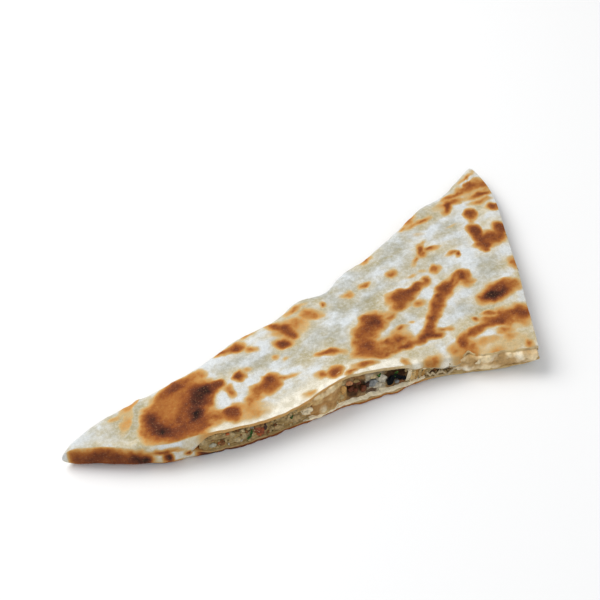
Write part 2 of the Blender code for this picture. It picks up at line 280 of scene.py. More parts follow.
MIDDLE = (
    (118.5, 6.5, 4, 3, 40, .55), (113, 7.3, 2.5, 1, -5, .46), (119.5, 19, 5, 1.7, -15, .57),
    (131.5, 7.5, 5, 1.6, 15, .50), (125.5, 4.3, 2.8, 1.1, 30, .44),
    (141.5, 33.5, 7, 5.2, 20, .60), (136.5, 27.5, 5.5, 5.5, 0, .56), (135, 20.5, 5.5, 5, 0, .53),
    (132, 16, 4.5, 3, 20, .50), (140, 15.5, 12, 3, 8, .42),
    (148, 37, 3, 3, 0, .22), (145, 14, 7, 1.4, 15, .46), (153, 17, 6, 1.5, 18, .48),
    (162, 20.5, 5.5, 2.4, 15, .61), (166.5, 20, 3, 1.6, 5, .60), (145.8, 21.7, 2.2, 1.7, 0, .48),
    (151.5, 21.2, 2.6, 1.5, 0, .42), (147, 20, 9.5, 4.6, 10, .36), (153, 27.4, 2.6, 1.1, 8, .46),
    (158.8, 30.3, 1.4, .8, 0, .24), (152, 25, 4, 3, 0, .20), (165, 25, 4.5, 2.6, 52, .54),
    (173, 38.5, 14, 2.2, 54, .46), (167.7, 31, 4.6, 2, 78, .50), (170.3, 37.5, 4, 2, 55, .50),
    (174, 42, 3.6, 1.9, 40, .52),
    (178, 46.7, 4.8, 3.6, 45, .60), (182, 50.8, 4.2, 3.6, 48, .58), (187.2, 52.2, 2.5, 3.2, 0, .56),
    (185, 54.6, 4, 1.4, 10, .48), (188, 48.5, 2.5, 1.5, 20, .34), (173, 23, 2.2, 1, -20, .24),
    (169.5, 23.3, 2, 1, 10, .36), (157.5, 46, 6.5, 3.4, 15, .54), (162, 50, 7.5, 2.2, 12, .55),
    (166.5, 52.5, 3.5, 1.8, 20, .50), (177.5, 49, 4, 3, 50, .56),
    (169.8, 55, 1.4, 3.2, -12, .46), (155, 41, 4, 2.2, 20, .48), (150.4, 35.5, 1.6, 3.0, -25, .42),
    (163.7, 41, 3, 1.6, 0, .37), (150, 8, 2, 1.5, 0, .34), (161, 7.7, 4.5, 1.6, 10, .36),
    (142.8, 58.8, 3, 1.2, 22, .36), (133.2, 54.5, 2.2, 1.3, -20, .30), (123, 51.3, .6, .6, 0, .60),
    (146.5, 75.5, 3.2, 1.4, 50, .45), (156.4, 63, 1.8, 1.9, 0, .44), (163.8, 60, 2.8, 1.3, 20, .22),
    (169, 63, 2.5, 1, 0, .16), (175.2, 61.8, 2.4, 2.3, -40, .35),
)
RIGHT_SIDE = (
    (172.3, 75, 2, 4, -10, .57), (177.3, 74.5, 3.1, 1.3, 6, .62), (173.5, 71.8, 3, 1.3, 15, .45),
    (168, 69, 3.4, 1, 42, .34), (174.5, 80, 2.5, 1.2, 40, .20), (186.5, 68.5, 2.6, 1.5, 25, .32),
    (189, 67.2, .5, 1.2, 0, .60), (199.5, 40.2, 9, 5.2, 18, .66), (195, 39.3, 3.6, 3, 10, .76),
    (199, 38, 5.5, 2.8, 15, .73), (208, 43.3, 3.2, 2, 15, .42), (184.6, 24.9, 1.4, 1.1, 20, .38),
    (192.3, 28.2, 2.8, 2.0, 0, .46), (206, 25.5, 5.5, 4.8, -8, .58), (199, 25.5, 5.5, 4.4, 0, .53),
    (193.5, 23, 6.5, 2.8, -5, .50), (188, 20.5, 5.5, 1.8, 15, .50), (182.7, 18, 5, 2.0, 20, .50),
    (203, 20.5, 7, 3.5, 8, .34), (179, 11, 5, 3, 35, .28),
    (176.9, 14.2, 3.6, 2.4, 60, .50), (196.5, 15.7, 3.5, 2.6, 0, .38), (173, 8.8, 4.5, 4, 30, .34),
    (192, 8, 16, 7, 8, .13), (180.5, 9, 3.5, 3.6, 0, .28), (188, 12, 5, 2.4, 0, .24),
    (189, 5.5, 4.2, 2, 10, .26), (197, 11.5, 4, 2.4, 10, .26), (196, 4.5, 3.2, 1.2, 0, .18),
    (182.5, 3.2, 3.2, 1.6, 10, .24), (204.8, 6.1, 1.5, 1.8, 0, .42), (211.5, 57.2, 1.8, 4.2, -10, .40),
)
APEX = (
    (199.3, 82.3, 2.8, 4.2, 0, .66), (200.8, 76.8, 2.6, 3.6, 15, .56), (203, 72.2, 4.8, 2.8, -10, .57),
    (205, 76.8, 4.2, 3.8, 0, .52),
    (208.5, 76.4, 5.8, 4.0, 38, .56), (212, 82, 3.4, 3.8, 0, .60), (202.3, 68.5, 2, 2.2, 0, .45),
    (200, 90, 1.2, 2, 0, .30), (201.7, 94.8, 2.6, 3.4, -10, .58), (213.6, 97.6, 3, 2.1, 0, .57),
    (192.6, 102.3, 4.3, 1.8, 65, .54), (208.5, 102.8, 4.5, 1.2, 8, .46),
    (201.5, 106.4, 2.6, 1, 0, .25), (197.7, 109.8, 6, 1.8, 22, .48), (210, 107.8, 5, 1.7, 10, .57),
    (205.5, 114.5, 7, 3.8, 26, .48), (212, 115, 3.4, 5, 0, .40), (207, 121.5, 4.6, 1, 25, .30),
    (211.5, 126, 1.5, 2, 0, .15), (173, 98.5, 6, 2, 45, .32), (178.8, 96.5, 4, 1.2, 25, .50),
    (172, 93.4, 4, 1, 35, .33), (168, 92.5, 2, 1.2, 50, .28), (190.8, 88.8, 4, 1.2, 10, .14),
    (173.8, 87.2, 3, 1.5, 0, .15), (195.5, 104.5, 5.5, 1.6, 25, .44),
    (193, 105, 7, 2, 28, .24), (207, 113, 8, 5.5, 28, .24),
)
# Places where the scorching is lighter again: the same sizes, and how dark they are at most.
PALE_SPOTS = (
    (49, 6.5, 4.2, 5.5, -20, .38), (70, 4.4, 3.2, 3.2, 0, .02), (183, 51.5, 1.1, 3, -20, .36),
    # The spot at 133, 37 keeps a ridge's painted highlight free of scorching.
    (202.5, 17.5, 2.2, 1.6, 0, .12), (133, 37, 5.5, 1.6, 62, .02), (34, 8, 14, .6, 66, .02),
    (207, 110.4, 7, .3, 16, .16), (206.5, 119.4, 5, .5, 26, .06),
)
GROWTH = 0.45             # mm added to every mark's half length and half width
FADE = (3.3, 1.05, 6.0)   # mm over which a mark fades out: the least, the share of its half width, the most
HALO = 7.0                # mm over which the warm tint round a mark fades out
HEART = (1.05, 0.74)      # shares of its darkness that a mark has in its middle and at its edge
BLEND = 4.0               # marks that overlap blend as smoothly as this power lets them
WARP = ((12.0, 1.3), (5.0, 0.75), (2.2, 0.38))   # mm of length and of shift that make the edges uneven
MOTTLE = ((8.0, 0.07), (3.2, 0.06))   # mm of length and depth of the darker and lighter places in a mark


def warped(x, y, seed):
    """The places, in mm, shifted by waves, so that what is drawn there has uneven edges."""
    shift = [sum(size * waves(x, y, length, seed + 7.0 * k + n) for n, (length, size) in enumerate(WARP))
             for k in range(2)]
    return x + shift[0], y + shift[1]


def oval(x, y, mark):
    """Distance from the middle of a mark, where 1 is its edge."""
    centre_x, centre_y, half_length, half_width, turn = mark[:5]
    c, s = math.cos(math.radians(turn)), math.sin(math.radians(turn))
    along = (x - centre_x) * c + (y - centre_y) * s
    across = (y - centre_y) * c - (x - centre_x) * s
    return np.hypot(along / (half_length + GROWTH), across / (half_width + GROWTH))


def scorch(x, y, marks, seed, pale_spots=()):
    """How dark the skin is at each place, in mm, from 0, pale, to 1, black, and how near it is to a mark."""
    x, y = warped(x, y, seed)
    total, halo = np.zeros(len(x)), np.zeros(len(x))
    for mark in marks:
        distance = oval(x, y, mark)
        size = min(mark[2], mark[3]) + GROWTH
        fade = min(max(FADE[0], FADE[1] * size), FADE[2])
        share = 1 - ease((distance - 1) * size / fade + 0.5)
        total += (mark[5] * share * (HEART[0] + (HEART[1] - HEART[0]) * ease(distance))) ** BLEND
        halo += (min(1.6 * mark[5], 1.0) * (1 - ease((distance - 1) * size / HALO))) ** BLEND
    dark = total ** (1 / BLEND)
    for n, (length, depth) in enumerate(MOTTLE):
        dark = dark + depth * rough(x, y, length, seed + 17.0 + n) * ease(dark / 0.35)
    dark = np.clip(dark, 0.0, 1.0)
    for mark in pale_spots:
        inner = 1 - ease((oval(x, y, mark) - 0.6) / 0.8)
        dark = dark + inner * (np.minimum(dark, mark[5]) - dark)
    return dark, np.clip(halo ** (1 / BLEND), 0.0, 1.0)


UPPER_MARKS = BURNT_END + LEFT_SIDE + MIDDLE + RIGHT_SIDE + APEX
LOWER_MARKS = 75          # how many marks the underside has


def lower_marks():
    """Marks of the underside, which the same griddle gives: scattered by a seeded draw."""
    draw = np.random.default_rng(41)
    marks = []
    while len(marks) < LOWER_MARKS:
        u, v = draw.uniform(0.05, 0.98), draw.uniform(0.03, 0.97)
        if draw.uniform() > u:
            continue
        x, y, _ = plan(u, v)
        size = draw.uniform(1.2, 5.2)
        marks.append((x / MM, y / MM, size * draw.uniform(1.0, 2.4), size, draw.uniform(-20, 60),
                      draw.uniform(0.34, 0.78)))
    return tuple(marks)


# Places with more flour on the skin, or, under 0, with less: the same sizes, and how much more.
FLOURY = (
    (166, 60, 24, 8, 12, .9), (74, 24, 9, 5, 10, 1.1), (172, 20, 11, 6, 10, .6), (166, 12, 7, 5, 0, .7),
    (128, 54, 16, 4, 30, .5), (84, 1, 11, 5, 5, .6), (120, 28, 20, 9, 22, -.9), (194, 96, 12, 7, 40, .4),
    # The place at 131.8, 36.5 is a painted highlight along the ridge beside the middle marks, in the flour
    # tint.
    (25, 3, 12, 8, 0, -1.3), (131.8, 36.5, 7, 1.8, 64, 1.8), (144, 44, 4, 6, 10, -1.3),
    (120.5, 47, 4, 5, 0, -1.1), (121, 25, 4, 5, 0, -.8), (157, 34, 5, 4, 0, 1.2), (192, 45, 10, 14, 0, -.5),
    (70, 4.6, 4, 4, 0, 2.2), (70, 27, 9, 4, 30, 1.4),
)


def floured(x, y):
    """How much more flour there is on the skin than elsewhere, at places in mm."""
    x, y = warped(x, y, 5.7)
    return sum(place[5] * np.exp(-(oval(x, y, place) ** 2)) for place in FLOURY)


# How scorched the two sheets are at the very edge of the long cut, by x in mm. On the lower sheet this
# darkening is partly toasting and partly painted shade along its foot.
UPPER_EDGE = ((54, 0.0), (60, 0.22), (118, 0.22), (126, 0.12), (146, 0.12), (152, 0.0))
LOWER_EDGE_SCORCH_AND_SHADE = ((54, 0.0), (58, 0.78), (78, 0.66), (96, 0.55), (108, 0.42), (150, 0.40), (172, 0.0))

# The dough.
TIP_STATIONS = 10
STATIONS = 300
EVEN_UNTIL = 0.004              # share of the length before the short cut where the even stations end
LAST_STATIONS = (0.0022, 0.0012, 0.0005, 0.0)   # the stations after that, given the same way
TOP_STEPS = (10, 150, 12)       # points over the lip, the skin and the fold
UNDER_STEPS = (5, 56, 7)
HOLLOW_STEPS = (2, 14, 3)
FOLD_DOUGH = 1.3                # thickness of the dough at the fold, in thicknesses of the sheet
EDGE_TINT = 0.80                # how far the upper sheet's cut edge has the tint of cut dough


def station_places():
    """u of each station: close together round the tip and at the short cut, evenly spaced between."""
    tip = TIP_ROUND / SHORT_CUT[0][1]
    near = [tip * (1 - math.cos(math.pi / 2 * k / TIP_STATIONS)) for k in range(TIP_STATIONS)]
    even = np.linspace(tip, 1 - EVEN_UNTIL, STATIONS)
    return np.array([*near, *even, *(1 - share for share in LAST_STATIONS)])


def torn_back(x, upper):
    """How far the edge of the upper or of the lower sheet stands back from the cut."""
    if not upper:
        return -curve(LOWER_LIP, x) * (0.6 + 0.7 * rough(x, 0.0, 0.007, 5.2))
    place, half_length, depth = NOTCH
    ragged = straight(RAGGED, x) * (0.5 + 0.6 * rough(x, 0.0, 0.006, 2.9))
    return ragged + depth * np.exp(-(((x - place) / half_length) ** 2))


def skin_path(u, steps, upper):
    """v and share of the height, for each station, from the lip over the skin to the middle of the fold."""
    over_lip, over_skin, over_fold = steps
    x, _, width = plan(u, 0.0)
    _, middle, high = heights(u, 0.0)
    opened = opening(x, OPEN_OVER)
    hanging = straight(FLAP, x) if upper else 0.0 * x
    hanging = hanging * (1 + 0.12 * rough(x, 0.0, 0.004, 8.3))
    lip = opened * np.maximum(high - DOUGH - hanging - middle, 0.0) / np.maximum(high - middle, 1e-9)
    lip_round = LIP_ROUND + FLAP_BEND * ease(hanging / 0.002)
    wall = np.minimum(WALL_ROUND + (lip_round - WALL_ROUND) * opened, 0.3 * width)
    fold = np.minimum(FOLD_ROUND, 0.45 * width)
    v, share = [], []
    for k in range(over_lip + 1):
        turn = math.pi / 2 * k / over_lip
        v.append(wall * (1 - math.cos(turn)) / width)
        share.append(lip + (1 - lip) * math.sin(turn) ** 0.8)
    first, last = wall / width, 1 - fold / width
    for k in range(1, over_skin + 1):
        v.append(first + (last - first) * k / over_skin)
        share.append(np.ones(len(u)))
    for k in range(over_fold - 1, -1, -1):
        turn = math.pi / 2 * k / over_fold
        v.append(1 - fold / width * (1 - math.cos(turn)))
        share.append(np.full(len(u), math.sin(turn) ** 0.85))
    v = np.array(v).T
    back = np.clip(opened * torn_back(x, upper) / width, -0.5, 0.5)[:, None]
    return back + (1 - back) * v, np.array(share).T


def behind_lip(u, v, upper):
    """v, moved back near the cut where the upper sheet starts behind the lower one."""
    x, _, width = plan(u, 0.0)
    back = curve(SETBACK, x) / width if upper else 0.0 * x
    return v + back[:, None] * np.maximum(1 - v / SETBACK_FADE, 0.0)


def skin_points(u, v, share, upper):
    v = behind_lip(u, v, upper)
    x, y, _ = plan(u[:, None], v)
    low, middle, high = heights(u[:, None], v)
    return np.stack([x, y, middle + share * ((high if upper else low) - middle)], axis=2)


def hollow_share(x, width):
    """The share of the width over which the hollow inside the dough runs."""
    return opening(x, HOLLOW_OVER) * np.maximum(1 - FOLD_DOUGH * DOUGH / width, 0.0)


def hollow_points(u, v, share, upper):
    """The hollow's ceiling or floor, along paths given for the skin."""
    x, _, width = plan(u, 0.0)
    v = behind_lip(u, v * hollow_share(x, width)[:, None], upper)
    x_in, y_in, _ = plan(u[:, None], v)
    low, middle, high = heights(u[:, None], v)
    reach = high - DOUGH - middle if upper else low + DOUGH - middle
    return np.stack([x_in, y_in, middle + reach * share * opening(x, OPEN_OVER)[:, None]], axis=2)


def dough_mesh():
    """Points and faces, lofted over all stations, the share that is cut dough or hollow, and how dark the
    sheets' cut edges are from scorching and, on the lower sheet, also from painted shade."""
    u = station_places()
    top = skin_points(u, *skin_path(u, TOP_STEPS, True), True)
    under = skin_points(u, *skin_path(u, UNDER_STEPS, False), False)[:, -2::-1]
    above, below = (skin_path(u, HOLLOW_STEPS, upper) for upper in (True, False))
    first = HOLLOW_STEPS[0]
    ceiling = hollow_points(u, above[0][:, first:], above[1][:, first:], True)[:, -2::-1]
    floor = hollow_points(u, below[0][:, first:], below[1][:, first:], False)
    loops = np.concatenate([top, under, floor, ceiling], axis=1)
    rows, columns = loops.shape[:2]
    x = plan(u, 0.0)[0]
    opened = ease((x - OPEN_FROM) / OPEN_OVER - 0.4)[:, None]
    hanging = ease(straight(FLAP, x) / 0.0012)[:, None]
    inside = np.zeros((rows, columns))
    inside[:, :TOP_STEPS[0] - 1] = EDGE_TINT * opened * (1 - hanging)
    cut = top.shape[1] + under.shape[1] - UNDER_STEPS[0] + 1
    inside[:, cut:] = opened
    scorched = np.zeros((rows, columns))
    lip = slice(cut - 1, top.shape[1] + under.shape[1])
    # The lower sheet's edge: its toasting together with painted shade along its foot.
    scorched[:, lip] = straight(LOWER_EDGE_SCORCH_AND_SHADE, x / MM)[:, None]
    scorched[:, :TOP_STEPS[0] - 1] = straight(UPPER_EDGE, x / MM)[:, None]
    inside *= 1 - ease(scorched / 0.3)
    inside[-1] = 1.0
    faces = grid_faces(rows, columns, wrap=True)
    faces.append(tuple((rows - 1) * columns + j for j in range(columns)))
    return loops.reshape(-1, 3), faces, {"inside": inside.ravel(), "scorched": scorched.ravel()}


# Low forms of the skin: a ridge or a furrow from one place to another in mm, its half width and height.
RIDGES = (
    (38.5, 20.5, 26.5, -7, 1.9, 0.60), (98, 4, 112, 10, 1.2, -0.22), (126, 30, 148, 58, 2.0, 0.20),
    (132, 33, 136, 43, 1.3, 0.35), (88, 24, 120, 33, 1.6, 0.16), (96, 33, 128, 47, 1.5, -0.16),
    (150, 58, 176, 84, 3.0, 0.22), (170, 60, 186, 92, 2.4, -0.18), (140, 5, 172, 8, 2.4, 0.25),
)
BLISTER = 0.26 * MM
CREASES = (10.5, 0.36 * MM)      # mm of length, and height
ALONG_FOLD = (0.84, 0.54)        # direction of the creases
WRINKLED = (118, 30, 34, 22)     # middle and reach, by x and y in mm, of the pale part that wrinkles most
# Width of the painted highlight behind the long cut, by x in mm.
RIM_HIGHLIGHT_WIDTH = ((58, 3.5), (80, 5), (92, 8.5), (125, 8), (142, 6), (160, 4), (172, 3))   # x and width in mm
GRAIN = ((0.0046, 0.13 * MM), (0.0019, 0.055 * MM))


def ridge_relief(x, y):
    """Height of the low forms at places in mm."""
    height = np.zeros(len(x))
    for x1, y1, x2, y2, half_width, rise in RIDGES:
        length = math.hypot(x2 - x1, y2 - y1)
        along = ((x - x1) * (x2 - x1) + (y - y1) * (y2 - y1)) / length
        across = ((y - y1) * (x2 - x1) - (x - x1) * (y2 - y1)) / length
        across = across + 1.4 * np.sin(along / length * 5 + x1)
        ends = ease(along / (0.3 * length)) * ease((length - along) / (0.3 * length))
        height += rise * MM * ends * np.exp(-((across / half_width) ** 2))
    return height


def wrinkled(x, y):
    """How wrinkled the skin is, at places in mm."""
    middle_x, middle_y, reach_x, reach_y = WRINKLED
    return np.exp(-(((x - middle_x) / reach_x) ** 2) - (((y - middle_y) / reach_y) ** 2))


def creases(x, y):
    """Soft creases that run along the folded edge: about 1 on their backs and -1 between them."""
    c, s = ALONG_FOLD
    along, across = c * x + s * y, c * y - s * x
    return np.clip(1.5 * rough(0.5 * along, across, CREASES[0], 6.1), -1.0, 1.0)


def dress_dough(piece):
    """Gives the dough its scorch marks and tints, and moves its points for blisters, wrinkles and grain."""
    mesh = piece.data
    points, normals = points_and_normals(mesh)
    inside = read_value(mesh, "inside")
    x, y = points[:, 0] / MM, points[:, 1] / MM
    top = ease((normals[:, 2] + 0.35) / 0.5)
    under = ease((-normals[:, 2] - 0.15) / 0.5)
    side = np.clip(1 - top - under, 0.0, 1.0)
    upper, halo = scorch(x, y, UPPER_MARKS, 1.7, PALE_SPOTS)
    lower, lower_halo = scorch(x, y, lower_marks(), 8.9)
    dark = upper * (top + 0.85 * side) + lower * under
    halo = halo * (top + side) + lower_halo * under
    wall = closed_wall(points, normals)
    dark = dark + wall * (scorch(x, points[:, 2] / MM, WALL_MARKS, 12.2)[0] - dark)
    dark = np.maximum(dark * (1 - inside), read_value(mesh, "scorched"))
    relief = BLISTER * ease(dark / 0.5) * (0.7 + 0.5 * rough(x, y, 5.0, 4.4))
    relief += ridge_relief(x, y) * top
    creased = creases(x, y)
    relief += CREASES[1] * creased * (0.35 + 0.65 * wrinkled(x, y)) * top
    for seed, (length, height) in enumerate(GRAIN):
        relief += height * waves(points[:, 0] + points[:, 2], points[:, 1], length, 31.0 + seed)
    relief *= 1 - 0.75 * inside
    points += normals * relief[:, None]
    points[:, 2] = np.maximum(points[:, 2], 0.0)
    mesh.vertices.foreach_set("co", (points + PLACE).ravel())
    mesh.update()
    set_value(mesh, "dark", dark)
    set_value(mesh, "warm", warmth(points, x, y, halo, side * (1 - wall)))
    # The rim value holds the painted highlight band behind the long cut.
    set_value(mesh, "rim", rim_highlight(points, x) * top * (1 - inside))
    # Besides the flour, the creases tint the skin: painted highlight on their backs and painted shade between
    # them.
    set_value(mesh, "flour_and_crease_shading", (creased + floured(x, y)) * top)


# Marks of the closed side at the tip: x and height in mm, half sizes, turn and how dark.
WALL_MARKS = (
    (17, 5, 18, 5.5, 0, .67), (31, 5, 6, 5, 0, .72), (34.5, 5, 2.6, 3.2, 0, .80), (43.6, 5, 1.7, 2.6, 0, .82),
    (42, 9, 6, .6, 0, .60), (52.4, 6.2, 1.2, 1.3, -20, .58), (39, 0, 8, 1.0, 0, .96),
    (60, 0, 6, 1.1, 4, .92), (10, 0, 14, .8, 0, .66),
)


def closed_wall(points, normals):
    """How far a point belongs to the closed side at the tip, below its pale rim."""
    x = points[:, 0]
    least = 0.2 + 0.25 * np.clip(4 * normals[:, 2], -1.0, 1.0)
    facing = ease((-normals[:, 1] - least) / 0.30)
    return facing * (1 - ease((x - 0.062) / 0.006)) * ease((x - 0.001) / 0.004)


def rim_highlight(points, x):
    """A painted highlight: the bright cream band just behind the long cut, widest between the marks."""
    from_cut = points[:, 1] - curve(LONG_CUT, points[:, 0]) - curve(SETBACK, points[:, 0])
    band = np.exp(-((np.maximum(from_cut, 0.0) / MM / straight(RIM_HIGHLIGHT_WIDTH, x)) ** 2))
    between = 0.7 + 0.45 * ease((x - 80) / 12) * (1 - ease((x - 148) / 10))
    return band * ease((x - 58) / 10) * (between + 0.15 * rough(x, 0 * x, 14.0, 27.0))


def warmth(points, x, y, halo, side):
    """Tint of the pale dough: 0 is a cool grey, 1 a warm cream, as at the rims and round the marks."""
    from_cut = points[:, 1] - curve(LONG_CUT, points[:, 0])
    rim = np.exp(-np.maximum(from_cut, 0.0) / 0.006) + 0.4 * np.exp(-np.abs(points[:, 0] - 0.21) / 0.006)
    corner = ease((x - 165) / 20) * (1 - ease((y - 22) / 12))
    patches = 0.5 + 0.5 * rough(x, y, 17.0, 21.0)
    return np.clip(0.30 * patches + 0.9 * rim + 0.55 * halo + 0.55 * corner + 0.3 * side, 0.0, 1.0)


# The filling and what stands out of its cut faces.
CORE_STATIONS = 420
CORE_STEPS = 26
CORE_ROWS = 28
CORE_GAP = 0.25 * MM            # between the filling and the sheets of dough
FINER = 6                       # how much finer the short cut's face is than the sheets above and below it
CRAG = ((0.0050, 0.85 * MM), (0.0022, 0.50 * MM), (0.0010, 0.24 * MM))
LEDGE = (0.0038, 0.0005)
# Hollows between the crumbs of the long cut: x in mm, level, half length, half height and depth in mm.
HOLLOWS = (
    (61.5, .85, 2.0, 1.0, 0.8), (79.8, .78, 1.3, 1.6, 1.2), (87.4, .86, 1.6, 1.6, 1.6),
    (93.0, .95, 3.0, 1.1, 1.0), (99.5, .86, 4.5, 1.9, 1.6), (107, .18, 3.0, 1.0, 1.0),
    (115, .35, 3.6, 1.3, 0.9), (125.2, .38, 2.6, 3.8, 2.6), (129.6, .40, 2.0, 2.8, 1.8),
    (133.4, .14, 2.6, 1.2, 2.0), (142.6, .55, 2.4, 3.2, 2.4), (147.6, .62, 2.4, 2.6, 2.2),
    (155.5, .38, 3.2, 3.0, 1.4), (161.5, .16, 2.6, 1.9, 1.8), (166.8, .18, 3.0, 2.1, 1.8),
    (172.2, .16, 2.2, 1.6, 1.6),
)


def hollow_depth(x, z, low, high):
    """Depth of the hollows of the long cut at each place, in mm."""
    depth = np.zeros(np.shape(x))
    x_mm, height = x / MM, np.maximum(high - low, 1e-6)
    for place, level, half_length, half_height, deepest in HOLLOWS:
        up = (z - low - level * height) / MM
        away = np.hypot((x_mm - place) / half_length, up / half_height)
        depth = np.maximum(depth, deepest * (1 - ease((away - 0.55) / 0.75)))
    return depth


def core_reach(along, z):
    """How far the cut face stands out: crumbs of three sizes and thin ledges."""
    out = sum(height * waves(along, z * 1.25, length, 11.3 + 3 * n)
              for n, (length, height) in enumerate(CRAG))
    spacing, ledge = LEDGE
    layer = np.cos(2 * np.pi * (z + 0.0013 * waves(along, 0.0 * along, 0.017, 2.4)) / spacing)
    return out + ledge * np.maximum(layer, 0.0) - 0.25 * MM


def core_sheet(u, v, upper):
    """The filling's upper or lower side at grid places, a little inside the dough."""
    x, _, width = plan(u, 0.0)
    end = np.sqrt(1 - v**8)
    inset = np.clip(RECESS / width, 0, 0.3)[:, None]
    v = v * hollow_share(x, width)[:, None] + inset * (1 - v)
    v = behind_lip(u, v, upper)
    x_in, y_in, _ = plan(u[:, None], v)
    low, middle, high = heights(u[:, None], v)
    gap = CORE_GAP + DOUGH
    reach = np.maximum(high - gap - middle, 0.1 * MM) if upper else np.minimum(low + gap - middle, -0.1 * MM)
    return np.stack([x_in, y_in, middle + reach * end * opening(x, OPEN_OVER)[:, None]], axis=2)


def filling_core(material):
    """The crumbly slab: two sheets joined by the craggy faces of the long cut and of the short cut."""
    u = np.linspace(FILLING_FROM / SHORT_CUT[0][1], 1 - RECESS / SHORT_CUT[-1][1], CORE_STATIONS)
    v = np.linspace(0.0, 1.0, CORE_STEPS) ** 0.85
    ceiling, floor = core_sheet(u, v, True), core_sheet(u, v, False)
    edges = [(ceiling[:, 0], floor[:, 0]), (densely(ceiling[-1]), densely(floor[-1])),
             (ceiling[0], floor[0])]
    outwards = [np.array([0.12, -1.0, 0.0]), np.array([1.0, 0.0, 0.0]), None]
    blocks = [ceiling, floor]
    for (top, foot), outward in zip(edges, outwards):
        blocks.append(cut_face(top, foot, outward))
    points, faces, starts = [], [], []
    for number, block in enumerate(blocks):
        starts.append(sum(len(piece) for piece in points))
        rows, columns = block.shape[:2]
        faces += grid_faces(rows - 1 if number < 2 else rows, columns, starts[-1])
        points.append(block.reshape(-1, 3))
    for sheet_start, level in zip(starts, (CORE_ROWS, 0)):
        faces += finer_strip(sheet_start + (CORE_STATIONS - 2) * CORE_STEPS, starts[3] + level)
    points = np.concatenate(points)
    values = {"tone": core_colours(points)}
    return make_piece("filling_core", points, faces, values, material, "filling", "filling")


def finer_strip(row, fine_row):
    """Faces between a sheet's last row but one and the short cut's row of FINER times as many points."""
    faces = []
    for j in range(CORE_STEPS - 1):
        fine = [fine_row + k * (CORE_ROWS + 1) for k in range(FINER * j, FINER * (j + 1) + 1)]
        faces.append((row + j + 1, row + j, *fine))
    return faces


def densely(line):
    """The same line with FINER times as many points."""
    at = np.linspace(0, len(line) - 1, (len(line) - 1) * FINER + 1)
    return np.stack([np.interp(at, np.arange(len(line)), line[:, k]) for k in range(3)], axis=1)


def cut_face(top, foot, outward):
    """A grid from foot to top. Its inner rows stand out by the crumbs' reach."""
    level = np.linspace(0.0, 1.0, CORE_ROWS + 1)
    grid = foot[:, None] + (top - foot)[:, None] * level[None, :, None]
    if outward is None:
        return grid
    x, z = grid[..., 0], grid[..., 2]
    reach = core_reach(x + grid[..., 1], z)
    if outward[1] < -0.5:
        reach = reach - MM * hollow_depth(x, z, foot[:, None, 2], top[:, None, 2])
        reach = reach + 1.3 * MM * (1 - ease((x - FILLING_FROM) / 0.008))
    reach = reach * np.sin(np.pi * level)[None, :] ** 0.5
    ends = ease(np.arange(len(top)) / 6) * ease((len(top) - 1 - np.arange(len(top))) / 6)
    return grid + reach[..., None] * ends[:, None, None] * outward


KHAKI = (0.32, 0.210, 0.078)
PALE = (0.48, 0.37, 0.195)
TAN = (0.48, 0.265, 0.078)
CHEESE = (0.48, 0.43, 0.33)
WHEY = (0.21, 0.215, 0.21)
BROWN = (0.17, 0.070, 0.022)
SHADOW = (0.070, 0.026, 0.010)
# Stretches of the long cut, in mm of x, with the colour that the filling has there.
# The SHADOW stretch from 140.5 to 149 mm is painted shade in the deep hollows there, not a colour of the
# filling.
STRETCHES = (
    (60, 76, KHAKI), (80, 86, BROWN), (86, 103, KHAKI), (103, 120, TAN), (122.5, 130.5, BROWN),
    (131, 140, CHEESE), (140.5, 149, SHADOW), (152, 161, BROWN), (161, 174, TAN), (174, 208, PALE),
)


def core_colours(points):
    """Colour of the filling at each point: mixed crumbs, the stretches of the long cut, and painted shade in
    its small crevices, in the hollows and under the upper sheet.
    """
    x, y, z = points.T
    along = x + y
    mix = ease(0.5 + 0.8 * rough(along, z * 1.3, 0.0045, 51.0))[:, None]
    colours = np.array(KHAKI) * (1 - mix) + np.array(PALE) * mix
    tan = ease(1.6 * rough(along, z * 1.5, 0.008, 57.0))[:, None]
    colours = colours + 0.8 * tan * (np.array(TAN) - colours)
    near = 1 - ease((y - curve(LONG_CUT, x) - 0.0045) / 0.003)
    shift = x / MM + 1.2 * rough(along, z, 0.004, 63.0)
    for start, end, tone in STRETCHES:
        share = ease((shift - start + 0.7) / 1.4) * ease((end + 0.7 - shift) / 1.4) * near * 0.65
        colours = colours + share[:, None] * (np.array(tone) - colours)
    low, _, high = heights(x / curve(SHORT_CUT, 0.0), 0.0)
    # Painted shade: the hollows of the long cut and a band under the upper sheet are darkened toward SHADOW.
    shade = near * ease(hollow_depth(x, z, low + DOUGH, high - DOUGH) / 1.3)
    shade = np.maximum(shade, near * 0.75 * ease((z - high + DOUGH + 0.0022) / 0.002))
    # Painted shade in small crevices between the crumbs too, taken together with the shade above.
    painted_shade = np.maximum(0.6 * ease(-0.2 - waves(along, z * 1.25, 0.0028, 14.3)), 0.85 * shade)[:, None]
    colours = colours + painted_shade * (np.array(SHADOW) - colours)
    return opaque(colours)


def on_edge(u, v, level):
    """x, y and z at (u, v), at this level from 0, on the lower sheet of dough, to 1, under the upper."""
    x, y, _ = plan(u, v)
    low, _, high = heights(u, v)
    return x, y, low + DOUGH + level * (high - low - 2 * DOUGH)


def face_place(x, level, out):
    """A place on the long cut: x along it, level up the face, and how far out from the core."""
    x_at, y_at, z = on_edge(np.asarray(x) / curve(SHORT_CUT, 0.0), 0.0, level)
    back = RECESS + curve(SETBACK, x_at) * level
    return np.stack(np.broadcast_arrays(x_at, y_at + back - out, z), axis=-1)


def end_place(v, level, out):
    """A place on the short cut, like face_place."""
    x_at, y_at, z = on_edge(np.ones_like(np.asarray(v, float)), v, level)
    return np.stack(np.broadcast_arrays(x_at - RECESS + out, y_at, z), axis=-1)


